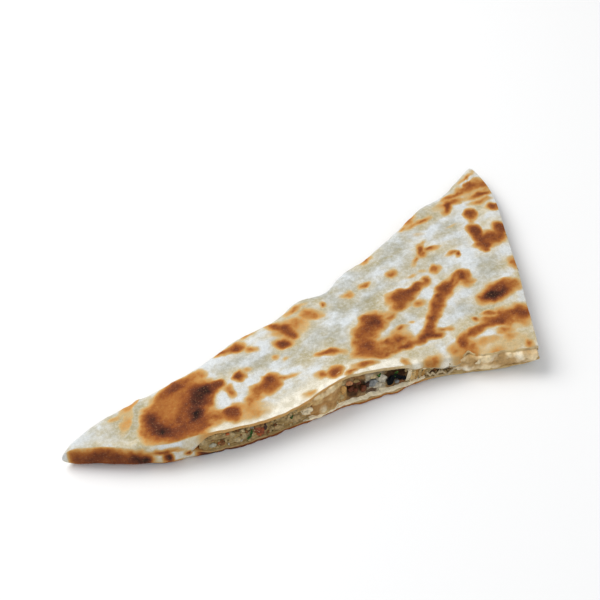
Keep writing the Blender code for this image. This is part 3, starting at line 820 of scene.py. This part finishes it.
def ball(subdivisions):
    """Points and faces of a unit ball."""
    bm = bmesh.new()
    bmesh.ops.create_icosphere(bm, subdivisions=subdivisions, radius=1.0)
    points = np.array([vertex.co for vertex in bm.verts])
    faces = np.array([[vertex.index for vertex in face.verts] for face in bm.faces])
    bm.free()
    return points, faces


BLOCKY = 0.88   # under 1, a lump is squarer than a ball


def lumps(name, places, material, slot, subdivisions=2):
    """Uneven lumps joined in one mesh. Each place is (centre, three radii, turn, colour)."""
    unit, unit_faces = ball(subdivisions)
    points, faces, tones = [], [], []
    for number, (centre, radii, turn, tone) in enumerate(places):
        bumps = 1 + 0.38 * waves(unit[:, 0] + unit[:, 2], unit[:, 1] + 3.7 * number, 0.9, 71.0 + number)
        blocky = np.sign(unit) * np.abs(unit) ** BLOCKY
        shape = (blocky * bumps[:, None] * radii) @ np.array(Matrix.Rotation(turn, 3, "Z")).T
        points.append(shape + centre)
        faces.append(unit_faces + number * len(unit))
        tones.append(np.tile((*tone, 1.0), (len(unit), 1)))
    values = {"tone": np.concatenate(tones)}
    return make_piece(name, np.concatenate(points), np.concatenate(faces).tolist(), values, material, slot)


CRUMBS = 260                    # draws for each cut
BROWN_CRUMBS = 0.22             # their share
CHEESE_CRUMBS = 0.07            # their share in the rest
CRUMBS_ALONG = (0.061, 0.172)   # the stretch of the long cut that has crumbs
NO_CRUMBS = (0.1215, 0.1490)    # the stretch in it that holds large pieces instead
CRUMB_LEVELS = (0.06, 0.94)
CRUMB_OUT = (-0.4 * MM, 0.5 * MM)


def crumb_places():
    """Crumbs of cheese and dough over both cut faces, by a seeded draw."""
    draw = np.random.default_rng(7)
    places = []
    for _ in range(CRUMBS):
        x, level = draw.uniform(*CRUMBS_ALONG), draw.uniform(*CRUMB_LEVELS)
        if not NO_CRUMBS[0] < x < NO_CRUMBS[1]:
            places.append(crumb(draw, face_place(x, level, draw.uniform(*CRUMB_OUT))))
    for _ in range(CRUMBS):
        v, level = draw.uniform(0.02, 0.93), draw.uniform(*CRUMB_LEVELS)
        places.append(crumb(draw, end_place(v, level, draw.uniform(*CRUMB_OUT))))
    return places


def crumb(draw, centre):
    """One crumb as lumps() takes it: small ones are more common than large ones."""
    size = draw.uniform(0.35, 1.0) ** 1.6 * 1.05 * MM
    radii = size * draw.uniform(0.55, 1.45, 3)
    mix = draw.uniform()
    tone = np.array(KHAKI) + mix * (np.array(PALE) - np.array(KHAKI))
    if draw.uniform() < BROWN_CRUMBS:
        tone = np.array(BROWN) * draw.uniform(0.9, 1.6)
    elif draw.uniform() < CHEESE_CRUMBS:
        tone = np.array(CHEESE)
    return centre, radii, draw.uniform(0, math.pi), tuple(tone)


RED = (0.36, 0.090, 0.025)
RED_BROWN = (0.24, 0.058, 0.018)
DEEP_RED = (0.125, 0.034, 0.012)
SALMON = (0.50, 0.225, 0.095)
CREAM = (0.70, 0.59, 0.39)
DARK = (0.050, 0.022, 0.014)
GREY = (0.22, 0.20, 0.15)
CURD = (0.38, 0.35, 0.25)
HONEY = (0.36, 0.245, 0.110)
# Chunks in the long cut: x in mm, level, out in mm, three half sizes in mm, and colour.
CHUNKS = (
    (82.2, 0.64, 0.1, 1.5, 1.0, 1.8, RED_BROWN), (83.7, 0.44, 0.2, 1.4, 1.0, 2.2, RED_BROWN),
    (82.3, 0.24, 0.1, 1.1, 0.9, 1.3, RED), (85.5, 0.62, -0.1, 0.8, 0.9, 2.0, DARK),
    (66.2, 0.34, 0.1, 1.4, 0.7, 0.8, RED), (69.4, 0.74, 0.1, 1.1, 0.6, 0.6, RED),
    (79.4, 0.82, -0.1, 1.2, 0.8, 1.0, GREY), (120.8, 0.52, 0.0, 1.5, 1.0, 2.4, TAN),
    (123.8, 0.74, 0.8, 1.5, 0.8, 0.9, SALMON), (127.2, 0.74, 0.2, 1.3, 0.7, 0.8, KHAKI),
    (127.8, 0.60, -0.6, 1.3, 1.0, 1.5, DEEP_RED), (130.2, 0.30, -0.6, 1.4, 1.0, 1.6, DEEP_RED),
    (134.4, 0.50, 0.2, 2.4, 0.9, 2.0, WHEY), (138.4, 0.62, 0.4, 2.2, 1.0, 2.2, CHEESE),
    (136.4, 0.38, 0.3, 2.0, 0.9, 1.4, CHEESE), (124.6, 0.34, -1.5, 1.3, 1.0, 1.2, DEEP_RED),
    (126.8, 0.26, -1.3, 1.1, 0.9, 1.0, DEEP_RED), (125.8, 0.58, -1.5, 1.3, 0.9, 1.2, DEEP_RED),
    (132.2, 0.46, 0.0, 1.0, 0.8, 1.6, DARK),
    (136.2, 0.80, 0.2, 2.4, 0.8, 0.9, PALE), (145.2, 0.30, 0.2, 1.0, 0.7, 0.8, WHEY),
    (147.2, 0.28, 0.2, 1.4, 0.8, 1.0, BROWN), (98.2, 0.44, 0.3, 3.0, 1.0, 1.8, HONEY),
    (103.6, 0.52, 0.5, 2.6, 1.1, 2.0, CREAM), (90.5, 0.36, 0.3, 2.8, 1.0, 1.7, HONEY),
    (73.2, 0.30, 0.2, 1.7, 0.9, 1.3, PALE), (62.4, 0.30, 0.2, 1.5, 0.8, 1.2, CURD),
)


def chunk_places():
    places = []
    for number, (x, level, out, *half_sizes, tone) in enumerate(CHUNKS):
        centre = face_place(x * MM, level, out * MM)
        places.append((centre, np.array(half_sizes) * MM, 0.15 * math.sin(7.0 * number), tone))
    return places


THIN_RIM = (0.6, 0.55)    # share of a sheet's breadth where it starts to thin, and how much it thins


def sheet(grid, thickness):
    """Points and faces of a closed thin sheet about a grid of points."""
    along = np.gradient(grid, axis=0)
    across = np.gradient(grid, axis=1)
    normal = np.cross(along, across)
    normal = normal / np.maximum(np.linalg.norm(normal, axis=2, keepdims=True), 1e-12)
    step = np.linspace(0.0, 1.0, grid.shape[1])[None, :, None]
    start, thinning = THIN_RIM
    half = thickness / 2 * (1 - thinning * ease((step - start) / (1 - start))) * normal
    loops = np.concatenate([grid + half, (grid - half)[:, ::-1]], axis=1)
    rows, columns = loops.shape[:2]
    faces = grid_faces(rows, columns, wrap=True)
    faces.append(tuple(range(columns))[::-1])
    faces.append(tuple((rows - 1) * columns + j for j in range(columns)))
    return loops.reshape(-1, 3), faces


def thin_piece(name, parts, material, slot):
    """One piece from several closed sheets: the points, the faces and the colour of each."""
    points, faces, tones, start = [], [], [], 0
    for part_points, part_faces, tone in parts:
        points.append(part_points)
        faces += [tuple(start + i for i in face) for face in part_faces]
        tones.append(np.broadcast_to(tone, (len(part_points), 3)))
        start += len(part_points)
    values = {"tone": opaque(np.concatenate(tones))}
    return make_piece(name, np.concatenate(points), faces, values, material, slot)


BISCUIT = (0.46, 0.32, 0.14)
GOLD = (0.63, 0.42, 0.17)
# A lighter copy of CREAM for the leaves low in the cut, as painted light where the upper sheet shades them.
LIT_CREAM = (0.90, 0.79, 0.56)
# Leaves of dough in the long cut: x from and to in mm, level at both ends, how far out, and colour.
LEAVES = (
    (60, 77, .72, .64, 0.7, BISCUIT), (61, 79, .14, .18, 0.8, KHAKI), (86, 104, .12, .16, 0.9, KHAKI),
    (98, 118, .88, .80, 1.5, GOLD), (102, 124, .09, .07, 2.1, LIT_CREAM), (119, 141, .07, .06, 1.8, LIT_CREAM),
    (137, 158, .10, .06, 2.0, LIT_CREAM), (150, 160, .90, .84, 1.2, CREAM), (168, 186, .14, .14, 1.5, BISCUIT),
)
LEAF = 0.42 * MM                # thickness
LEAF_STEP = 0.45 * MM           # length of its faces
LEAF_STEPS = np.linspace(0.0, 1.0, 7)   # from its root to its rim
LEAF_ROOT = 2.2 * MM            # how far it sinks into the filling
LEAF_DIP = 0.06                 # how far its rim hangs down, as a level
SHORT_CUT_LENGTH = 0.13


def leaf_rows(place, at, along, levels, out, seed):
    """A leaf on a cut: places along it, its level at each step, and how far its ragged rim stands out."""
    t = np.linspace(0.0, 1.0, len(at))
    rim = out * (0.45 + 0.55 * np.sin(np.pi * t) ** 0.5) + 0.45 * rough(along, 0 * along, 0.004, seed + 2)
    rows = []
    for step, level in zip(LEAF_STEPS, levels):
        reach = (rim * MM + LEAF_ROOT) * step - LEAF_ROOT
        rows.append(place(at, np.clip(level - LEAF_DIP * step**2, 0.02, 0.98), reach))
    return np.stack(rows, axis=1)


def leaf(x1, x2, level1, level2, out, seed):
    """A wavy leaf along the long cut."""
    x = np.linspace(x1, x2, int((x2 - x1) * MM / LEAF_STEP)) * MM
    level = np.linspace(level1, level2, len(x)) + 0.05 * waves(x, 0 * x, 0.007, seed)
    level = level + 0.02 * waves(x, 0 * x, 0.0022, seed + 0.5)
    levels = [level + 0.05 * step * waves(x, 0 * x + step, 0.005, seed + 4) for step in LEAF_STEPS]
    return leaf_rows(face_place, x, x, levels, out, seed)


def end_leaf(v1, v2, level, out, seed):
    """A leaf along the short cut."""
    v = np.linspace(v1, v2, int((v2 - v1) * SHORT_CUT_LENGTH / LEAF_STEP))
    y = v * SHORT_CUT_LENGTH
    level = level + 0.10 * waves(y, 0 * y, 0.016, seed)
    return leaf_rows(end_place, v, y, [level] * len(LEAF_STEPS), out, seed)


# Leaves that hang down over the cut: x from and to in mm, how far their ends sink in, in mm, and the tints of
# the places between their blisters, which are darker as painted shade, of the blisters and of the flour on
# these.
HANGING_LEAVES = (
    (171.0, 206.8, 0.0, ((0.46, 0.29, 0.12), (0.78, 0.63, 0.39), (0.88, 0.83, 0.70))),
    (101.0, 121.0, 1.8, ((0.38, 0.20, 0.065), (0.62, 0.44, 0.20), (0.82, 0.72, 0.52))),
)
BUBBLES = ((0.0062, 0.75 * MM), (0.0027, 0.50 * MM), (0.0012, 0.20 * MM))   # length and height
HANGING = 0.8 * MM              # thickness
HANGING_STEPS = np.linspace(0.0, 1.0, 31)   # from under the lip to the foot


def hanging_leaf(start, end, sink, tints):
    """A soft, blistered leaf that hangs over the cut from x start to x end, and the tint of each point."""
    x = np.arange(start, end, 0.7 * LEAF_STEP / MM) * MM
    u = x / curve(SHORT_CUT, 0.0)
    x_at, y_at, _ = plan(u, 0.0)
    low, _, high = heights(u, 0.0)
    ends = ease((x / MM - start) / 7) * ease((end + 0.4 - x / MM) / (3 + 2 * sink))
    torn = np.maximum(curve(SETBACK, x), torn_back(x, True))
    shaded_tint, on_back, floury_tone = np.array(tints)
    rows, tones = [], []
    for step in HANGING_STEPS:
        down = ease((step - 0.22) / 0.78)
        inward = (torn + 2.0 * MM) * (1 - ease(step / 0.35)) + 1.2 * MM - 0.6 * MM * ends
        inward = inward + sink * MM * (1 - ends)
        z = (high - 0.9 * DOUGH) + (low + 0.5 * DOUGH - high + 0.9 * DOUGH) * down
        bubbles = sum(size * waves(x, z, length, 5.5 + n) for n, (length, size) in enumerate(BUBBLES))
        bulge = (0.8 * MM * math.sin(math.pi * down) + bubbles) * ease(step / 0.3) * ends
        rows.append(np.stack([x_at, y_at + inward - bulge, z], axis=1))
        back = ease(0.45 + bubbles / (1.1 * MM))[:, None]
        floury = ease(1.5 * waves(x, z, 0.006, 93.0) - 0.1)[:, None] * back
        # Painted shade: the places between the blisters take the darker first tint, the blisters' backs the
        # lighter one.
        tone = shaded_tint * (1 - back) + on_back * back
        tone = tone + 0.7 * floury * (floury_tone - tone)
        foot = 0.55 * ease((step - 0.86) / 0.1)
        tones.append(tone + foot * (np.array(BROWN) * 1.6 - tone))
    return np.stack(rows, axis=1), np.stack(tones, axis=1)


# Thin pale flakes low in the cut: places of their zigzag tips in mm of x and level, and their breadth.
FLAKES = (
    (((158.4, .50), (159.9, .20), (161.0, .38), (162.6, .10), (164.4, .46)), 0.15),
    (((164.0, .30), (165.4, .40), (167.5, .04), (169.6, .30), (171.0, .52)), 0.12),
)
FLAKE_TONE = (0.52, 0.41, 0.25)
FLAKE = 0.3 * MM                # thickness
# Pleats of dough that stand upright in the cut, given like HERBS.
PLEATS = (
    (150.6, .55, 0.5, 8.0, 1.7, 72, CREAM), (152.4, .50, 0.5, 7.5, 2.4, 80, GOLD),
    (154.2, .46, 0.2, 7.0, 2.0, 78, TAN), (155.7, .46, 0.5, 6.5, 1.4, 84, BISCUIT),
    (157.4, .42, 0.2, 6.0, 1.8, 78, TAN), (180.8, .80, 1.7, 3.2, 1.6, 60, CREAM),
)
PLEAT = 0.5 * MM                # thickness
END_LEAVES = 22                 # leaves in the short cut


def flake(line, breadth):
    """A thin pale strip of dough that runs in a zigzag."""
    line = np.array(line)
    x = np.arange(line[0, 0], line[-1, 0], 0.16)
    level = straight(line, x) + 0.03 * rough(x, 0 * x, 1.6, 4.0)
    rows = [face_place(x * MM, level + breadth * (step - 0.5), (1.7 - 0.6 * step) * MM + 0 * x)
            for step in np.linspace(0.0, 1.0, 4)]
    return np.stack(rows, axis=1)


def dough_leaves(material):
    """All the thin leaves, tongues and flakes of dough that show in the two cuts."""
    parts = [(*sheet(leaf(*spec[:5], 80.0 + n), LEAF), spec[5]) for n, spec in enumerate(LEAVES)]
    draw = np.random.default_rng(19)
    for n in range(END_LEAVES):
        v = draw.uniform(0.01, 0.80)
        length = draw.uniform(0.08, 0.19)
        tone = (CREAM, BISCUIT, PALE, TAN)[draw.integers(4)]
        spec = (v, min(v + length, 0.94), draw.uniform(0.12, 0.88), draw.uniform(1.1, 2.0))
        parts.append((*sheet(end_leaf(*spec, 130.0 + n), LEAF), tone))
    for spec in HANGING_LEAVES:
        grid, tones = hanging_leaf(*spec)
        tones = np.concatenate([tones, tones[:, ::-1]], axis=1).reshape(-1, 3)
        parts.append((*sheet(grid, HANGING), tones))
    for line, breadth in FLAKES:
        parts.append((*sheet(flake(line, breadth), FLAKE), FLAKE_TONE))
    parts += scraps(PLEATS, PLEAT, 40.0)
    return thin_piece("dough_leaves", parts, material, "dough")


GREEN = (0.042, 0.100, 0.020)
BLACK_GREEN = (0.003, 0.004, 0.005)
# Herb leaves in the long cut: x in mm, level, out in mm, length, width, turn in degrees, and colour.
HERBS = (
    (78.2, .35, 1.1, 5.0, 1.1, 68, GREEN), (79.2, .60, 1.0, 3.4, 1.0, 80, GREEN),
    (137.2, .92, 1.6, 1.8, 1.3, 20, GREEN), (142.0, .55, 1.4, 5.2, 2.8, 75, BLACK_GREEN),
    (143.6, .70, 1.8, 4.2, 2.4, 35, BLACK_GREEN), (144.8, .86, 1.7, 3.6, 1.2, 70, GREEN),
    (146.6, .62, 1.5, 4.0, 2.6, 10, BLACK_GREEN), (147.8, .50, 1.2, 3.4, 2.2, 60, BLACK_GREEN),
    (97.0, .70, 1.0, 1.6, .8, 30, GREEN), (111.0, .30, 1.2, 1.4, .7, 50, GREEN),
)


HERB = 0.3 * MM                 # thickness
END_HERBS = 9                   # herb leaves in the short cut


def scrap(length, width, turn, seed):
    """A small thin piece about the origin, such as a cooked leaf: pointed at both ends and curled."""
    c, s = math.cos(math.radians(turn)), math.sin(math.radians(turn))
    t = np.linspace(-1.0, 1.0, 15)
    rows = []
    for side in np.linspace(-1.0, 1.0, 6):
        across = side * (width / 2 * (1 - t**2) ** 0.7 + 0.06)
        along = t * length / 2
        curl = 0.5 * np.sin(2.2 * t + seed) + 0.35 * side**2
        rows.append(np.stack([along * c - across * s, -curl, along * s + across * c], axis=1) * MM)
    return np.stack(rows, axis=1)


def scraps(specs, thickness, seed):
    """Scraps in the long cut, as sheets with their colours."""
    parts = []
    for n, (x, level, out, length, width, turn, tone) in enumerate(specs):
        grid = face_place(x * MM, level, out * MM) + scrap(length, width, turn, seed + n)
        parts.append((*sheet(grid, thickness), tone))
    return parts


def herbs(material):
    """Herb leaves in the long cut, as listed, and in the short cut, by a seeded draw."""
    parts = scraps(HERBS, HERB, 0.0)
    draw = np.random.default_rng(23)
    to_short_cut = np.array(Matrix.Rotation(math.pi / 2, 3, "Z")).T
    for n in range(END_HERBS):
        place = end_place(draw.uniform(0.05, 0.9), draw.uniform(0.2, 0.8), 0.9 * MM)
        shape = scrap(draw.uniform(1.5, 4.0), draw.uniform(0.8, 2.0), draw.uniform(0, 90), n)
        parts.append((*sheet(shape @ to_short_cut + place, HERB), (GREEN, BLACK_GREEN)[n % 2]))
    return thin_piece("herbs", parts, material, "filling")


# Materials.
PALE_COOL = (0.42, 0.415, 0.355, 1)
PALE_WARM = (0.60, 0.52, 0.35, 1)
# The flour tint serves real flour and the painted highlight on crease backs. The stain tint serves real
# stains and the painted shade between creases.
FLOUR_AND_HIGHLIGHT = (0.66, 0.70, 0.73, 1)
STAIN_AND_SHADE = (0.37, 0.31, 0.155, 1)
# Colour of the painted highlight behind the long cut.
RIM_HIGHLIGHT = (0.83, 0.785, 0.67, 1)
CRUST = (
    (0.00, (0.54, 0.47, 0.30)), (0.12, (0.56, 0.40, 0.19)), (0.24, (0.53, 0.27, 0.080)),
    (0.36, (0.40, 0.150, 0.034)), (0.50, (0.268, 0.079, 0.0195)), (0.62, (0.168, 0.046, 0.017)),
    (0.76, (0.090, 0.027, 0.015)), (0.90, (0.032, 0.013, 0.009)), (1.00, (0.011, 0.008, 0.008)),
)
CUT_DOUGH = (0.62, 0.46, 0.22, 1)
CUT_SHADE = (0.42, 0.26, 0.10, 1)


class Nodes:
    """Short ways to add nodes to one material."""

    def __init__(self, name):
        self.material = bpy.data.materials.new(name)
        self.material.use_nodes = True
        self.tree = self.material.node_tree
        self.shader = self.tree.nodes["Principled BSDF"]
        self.place = self.add("ShaderNodeTexCoord").outputs["Object"]

    def add(self, kind, links=(), **settings):
        node = self.tree.nodes.new(kind)
        for key, value in settings.items():
            setattr(node, key, value)
        for socket, source in links:
            self.join(source, node.inputs[socket])
        return node

    def join(self, source, socket):
        if isinstance(source, bpy.types.NodeSocket):
            self.tree.links.new(source, socket)
        else:
            socket.default_value = source

    def attribute(self, name, output="Fac"):
        return self.add("ShaderNodeAttribute", attribute_name=name).outputs[output]

    def noise(self, millimetres, detail=3.0, roughness=0.55):
        links = [("Vector", self.place), ("Scale", 1 / (millimetres * MM)), ("Detail", detail),
                 ("Roughness", roughness)]
        return self.add("ShaderNodeTexNoise", links).outputs["Fac"]

    def math(self, operation, first, second=0.0, third=0.0):
        node = self.add("ShaderNodeMath", [(0, first), (1, second), (2, third)], operation=operation)
        return node.outputs[0]

    def span(self, value, low, high, to_low=0.0, to_high=1.0):
        """The value, brought from one span to another and kept inside it."""
        links = [("Value", value), ("From Min", low), ("From Max", high), ("To Min", to_low),
                 ("To Max", to_high)]
        return self.add("ShaderNodeMapRange", links, interpolation_type="SMOOTHSTEP").outputs[0]

    def mix(self, share, first, second, blend="MIX"):
        node = self.add("ShaderNodeMix", data_type="RGBA", blend_type=blend)
        self.join(share, node.inputs["Factor"])
        self.join(first, node.inputs[6])
        self.join(second, node.inputs[7])
        return node.outputs[2]

    def grey(self, value):
        return self.add("ShaderNodeCombineColor", [(k, value) for k in range(3)]).outputs[0]

    def ramp(self, value, stops):
        node = self.add("ShaderNodeValToRGB", [("Fac", value)])
        elements = node.color_ramp.elements
        while len(elements) < len(stops):
            elements.new(1.0)
        for element, (position, colour) in zip(elements, stops):
            element.position = position
            element.color = (*colour, 1)
        return node.outputs["Color"]

    def surface(self, colour, roughness, specular, relief):
        """The finished material, with this colour and relief."""
        self.join(colour, self.shader.inputs["Base Color"])
        self.join(roughness, self.shader.inputs["Roughness"])
        self.join(specular, self.shader.inputs["Specular IOR Level"])
        self.join(relief, self.shader.inputs["Normal"])
        return self.material

    def bump(self, height, millimetres, strength, below=None):
        links = [("Height", height), ("Distance", millimetres * MM), ("Strength", strength)]
        node = self.add("ShaderNodeBump", links)
        if below:
            self.join(below, node.inputs["Normal"])
        return node.outputs["Normal"]


def dough_material():
    """Griddled dough: pale and floury, with soft scorch marks, tan haloes and a fine grain, a painted
    highlight behind the long cut, and painted highlight and shade on the creases.
    """
    n = Nodes("dough")
    coarse, fine, grit = n.noise(6.5, 3), n.noise(1.5, 4), n.noise(0.45, 2)
    dark = n.attribute("dark")
    unevenness = n.math("MULTIPLY_ADD", n.math("SUBTRACT", fine, 0.5), 0.34,
                        n.math("MULTIPLY", n.math("SUBTRACT", grit, 0.5), 0.24))
    tone = n.math("MULTIPLY_ADD", unevenness, n.span(dark, 0.03, 0.40), dark)
    crust = n.ramp(tone, CRUST)
    warm = n.math("ADD", n.attribute("warm"), n.math("MULTIPLY", n.math("SUBTRACT", coarse, 0.5), 0.7))
    pale = n.mix(n.span(warm, 0.0, 1.0), PALE_COOL, PALE_WARM)
    # The creases' values paint a highlight on their backs and shade between them, mixed with the flour and
    # stain places and noise.
    back = n.math("MULTIPLY_ADD", n.attribute("flour_and_crease_shading"), 0.32, n.math("SUBTRACT", n.noise(5.0, 3, 0.5), 0.5))
    pale = n.mix(n.span(back, 0.00, -0.45, 0.0, 0.65), pale, STAIN_AND_SHADE)
    pale = n.mix(n.span(back, -0.10, 0.42, 0.0, 0.80), pale, FLOUR_AND_HIGHLIGHT)
    pale = n.mix(n.span(fine, 0.40, 0.70, 0.0, 0.24), pale, FLOUR_AND_HIGHLIGHT)
    # Painted highlight: the band behind the long cut is mixed toward the highlight colour, broken up by
    # noise.
    highlight_breakup = n.span(n.noise(4.0, 4), 0.36, 0.60, 0.5, 1.0)
    highlight = n.math("MULTIPLY", n.span(n.attribute("rim"), 0.10, 0.80), highlight_breakup)
    pale = n.mix(highlight, pale, RIM_HIGHLIGHT)
    colour = n.mix(n.span(tone, 0.02, 0.16), pale, crust)
    specks = n.math("MULTIPLY", n.span(n.noise(0.62, 2), 0.58, 0.70), n.span(dark, 0.25, 0.6, 0.0, 0.28))
    colour = n.mix(specks, colour, (0.50, 0.30, 0.15, 1))
    mottle = n.math("MULTIPLY", n.span(grit, 0.3, 0.7, 0.90, 1.07), n.span(fine, 0.3, 0.7, 0.93, 1.05))
    colour = n.mix(1.0, colour, n.grey(mottle), "MULTIPLY")
    cut = n.mix(n.span(n.noise(3.0, 3), 0.40, 0.62, 0.0, 0.8), CUT_DOUGH, CUT_SHADE)
    colour = n.mix(n.attribute("inside"), colour, cut)
    relief = n.bump(fine, 0.35, 0.6, n.bump(coarse, 0.8, 0.5))
    return n.surface(colour, 0.78, 0.06, n.bump(grit, 0.12, 0.5, relief))


def tone_material(name, roughness, specular, spread, bump_size):
    """A food material that takes its colour from each point, broken up by noise."""
    n = Nodes(name)
    fine, grit = n.noise(bump_size, 4), n.noise(bump_size * 0.35, 3)
    shade = n.span(fine, 0.25, 0.75, 1 - spread, 1 + spread)
    colour = n.mix(1.0, n.attribute("tone", "Color"), n.grey(shade), "MULTIPLY")
    return n.surface(colour, roughness, specular, n.bump(grit, 0.12, 0.5, n.bump(fine, 0.35, 0.6)))


# The stage. The camera and what it looks at are given in the plan.
EYE = (0.0581, -0.3926, 0.480)
AIM = (0.1131, 0.0604, 0.006)
ROLL = -4.84
LENS = 87.0


def plain_material(name, colour, roughness):
    n = Nodes(name)
    n.shader.inputs["Base Color"].default_value = colour
    n.shader.inputs["Roughness"].default_value = roughness
    return n.material


def look(piece, target, roll=0.0):
    """Turns a camera or a light towards the target."""
    direction = target - piece.location
    turn = direction.to_track_quat("-Z", "Y")
    piece.rotation_mode = "QUATERNION"
    piece.rotation_quaternion = turn @ Quaternion((0, 0, 1), math.radians(roll))


def add_light(name, location, size, watts, colour):
    data = bpy.data.lights.new(name, "AREA")
    data.shape = "SQUARE"
    data.size = size
    data.energy = watts
    data.color = colour
    light = bpy.data.objects.new(name, data)
    bpy.context.scene.collection.objects.link(light)
    light.location = location
    look(light, Vector((0, 0, 0)))
    return light


def stage():
    bpy.ops.mesh.primitive_plane_add(size=4.0, location=(0, 0, -0.0002))
    floor = bpy.context.object
    floor.name = "floor"
    floor.data.materials.append(plain_material("floor", (0.86, 0.86, 0.86, 1), 0.9))
    lights = [
        add_light("key", (-0.55, 0.45, 0.90), 0.9, 12.5, (1.0, 0.985, 0.96)),
        add_light("fill", (0.35, -0.9, 0.9), 1.0, 4.0, (0.96, 0.98, 1.0)),
    ]
    world = bpy.data.worlds.new("studio")
    world.use_nodes = True
    world.node_tree.nodes["Background"].inputs["Color"].default_value = (0.95, 0.97, 1.0, 1)
    world.node_tree.nodes["Background"].inputs["Strength"].default_value = 0.48
    bpy.context.scene.world = world
    bpy.context.scene.view_settings.view_transform = "Standard"
    camera = bpy.data.objects.new("camera", bpy.data.cameras.new("camera"))
    bpy.context.scene.collection.objects.link(camera)
    camera.data.lens = LENS
    camera.location = EYE + PLACE
    look(camera, Vector(AIM + PLACE), ROLL)
    bpy.context.scene.camera = camera


def main():
    skin = make_piece("dough_skin", *dough_mesh(), dough_material(), "dough", "dough")
    dress_dough(skin)
    crumbly = tone_material("crumbly_filling", 0.72, 0.18, 0.28, 1.1)
    filling_core(crumbly)
    lumps("crumbs", crumb_places(), crumbly, "filling")
    lumps("chunks", chunk_places(), tone_material("chunks", 0.62, 0.22, 0.38, 1.2), "filling", 3)
    dough_leaves(tone_material("thin_leaves", 0.7, 0.18, 0.18, 1.4))
    herbs(tone_material("herb_leaves", 0.60, 0.07, 0.35, 0.8))
    stage()


main()
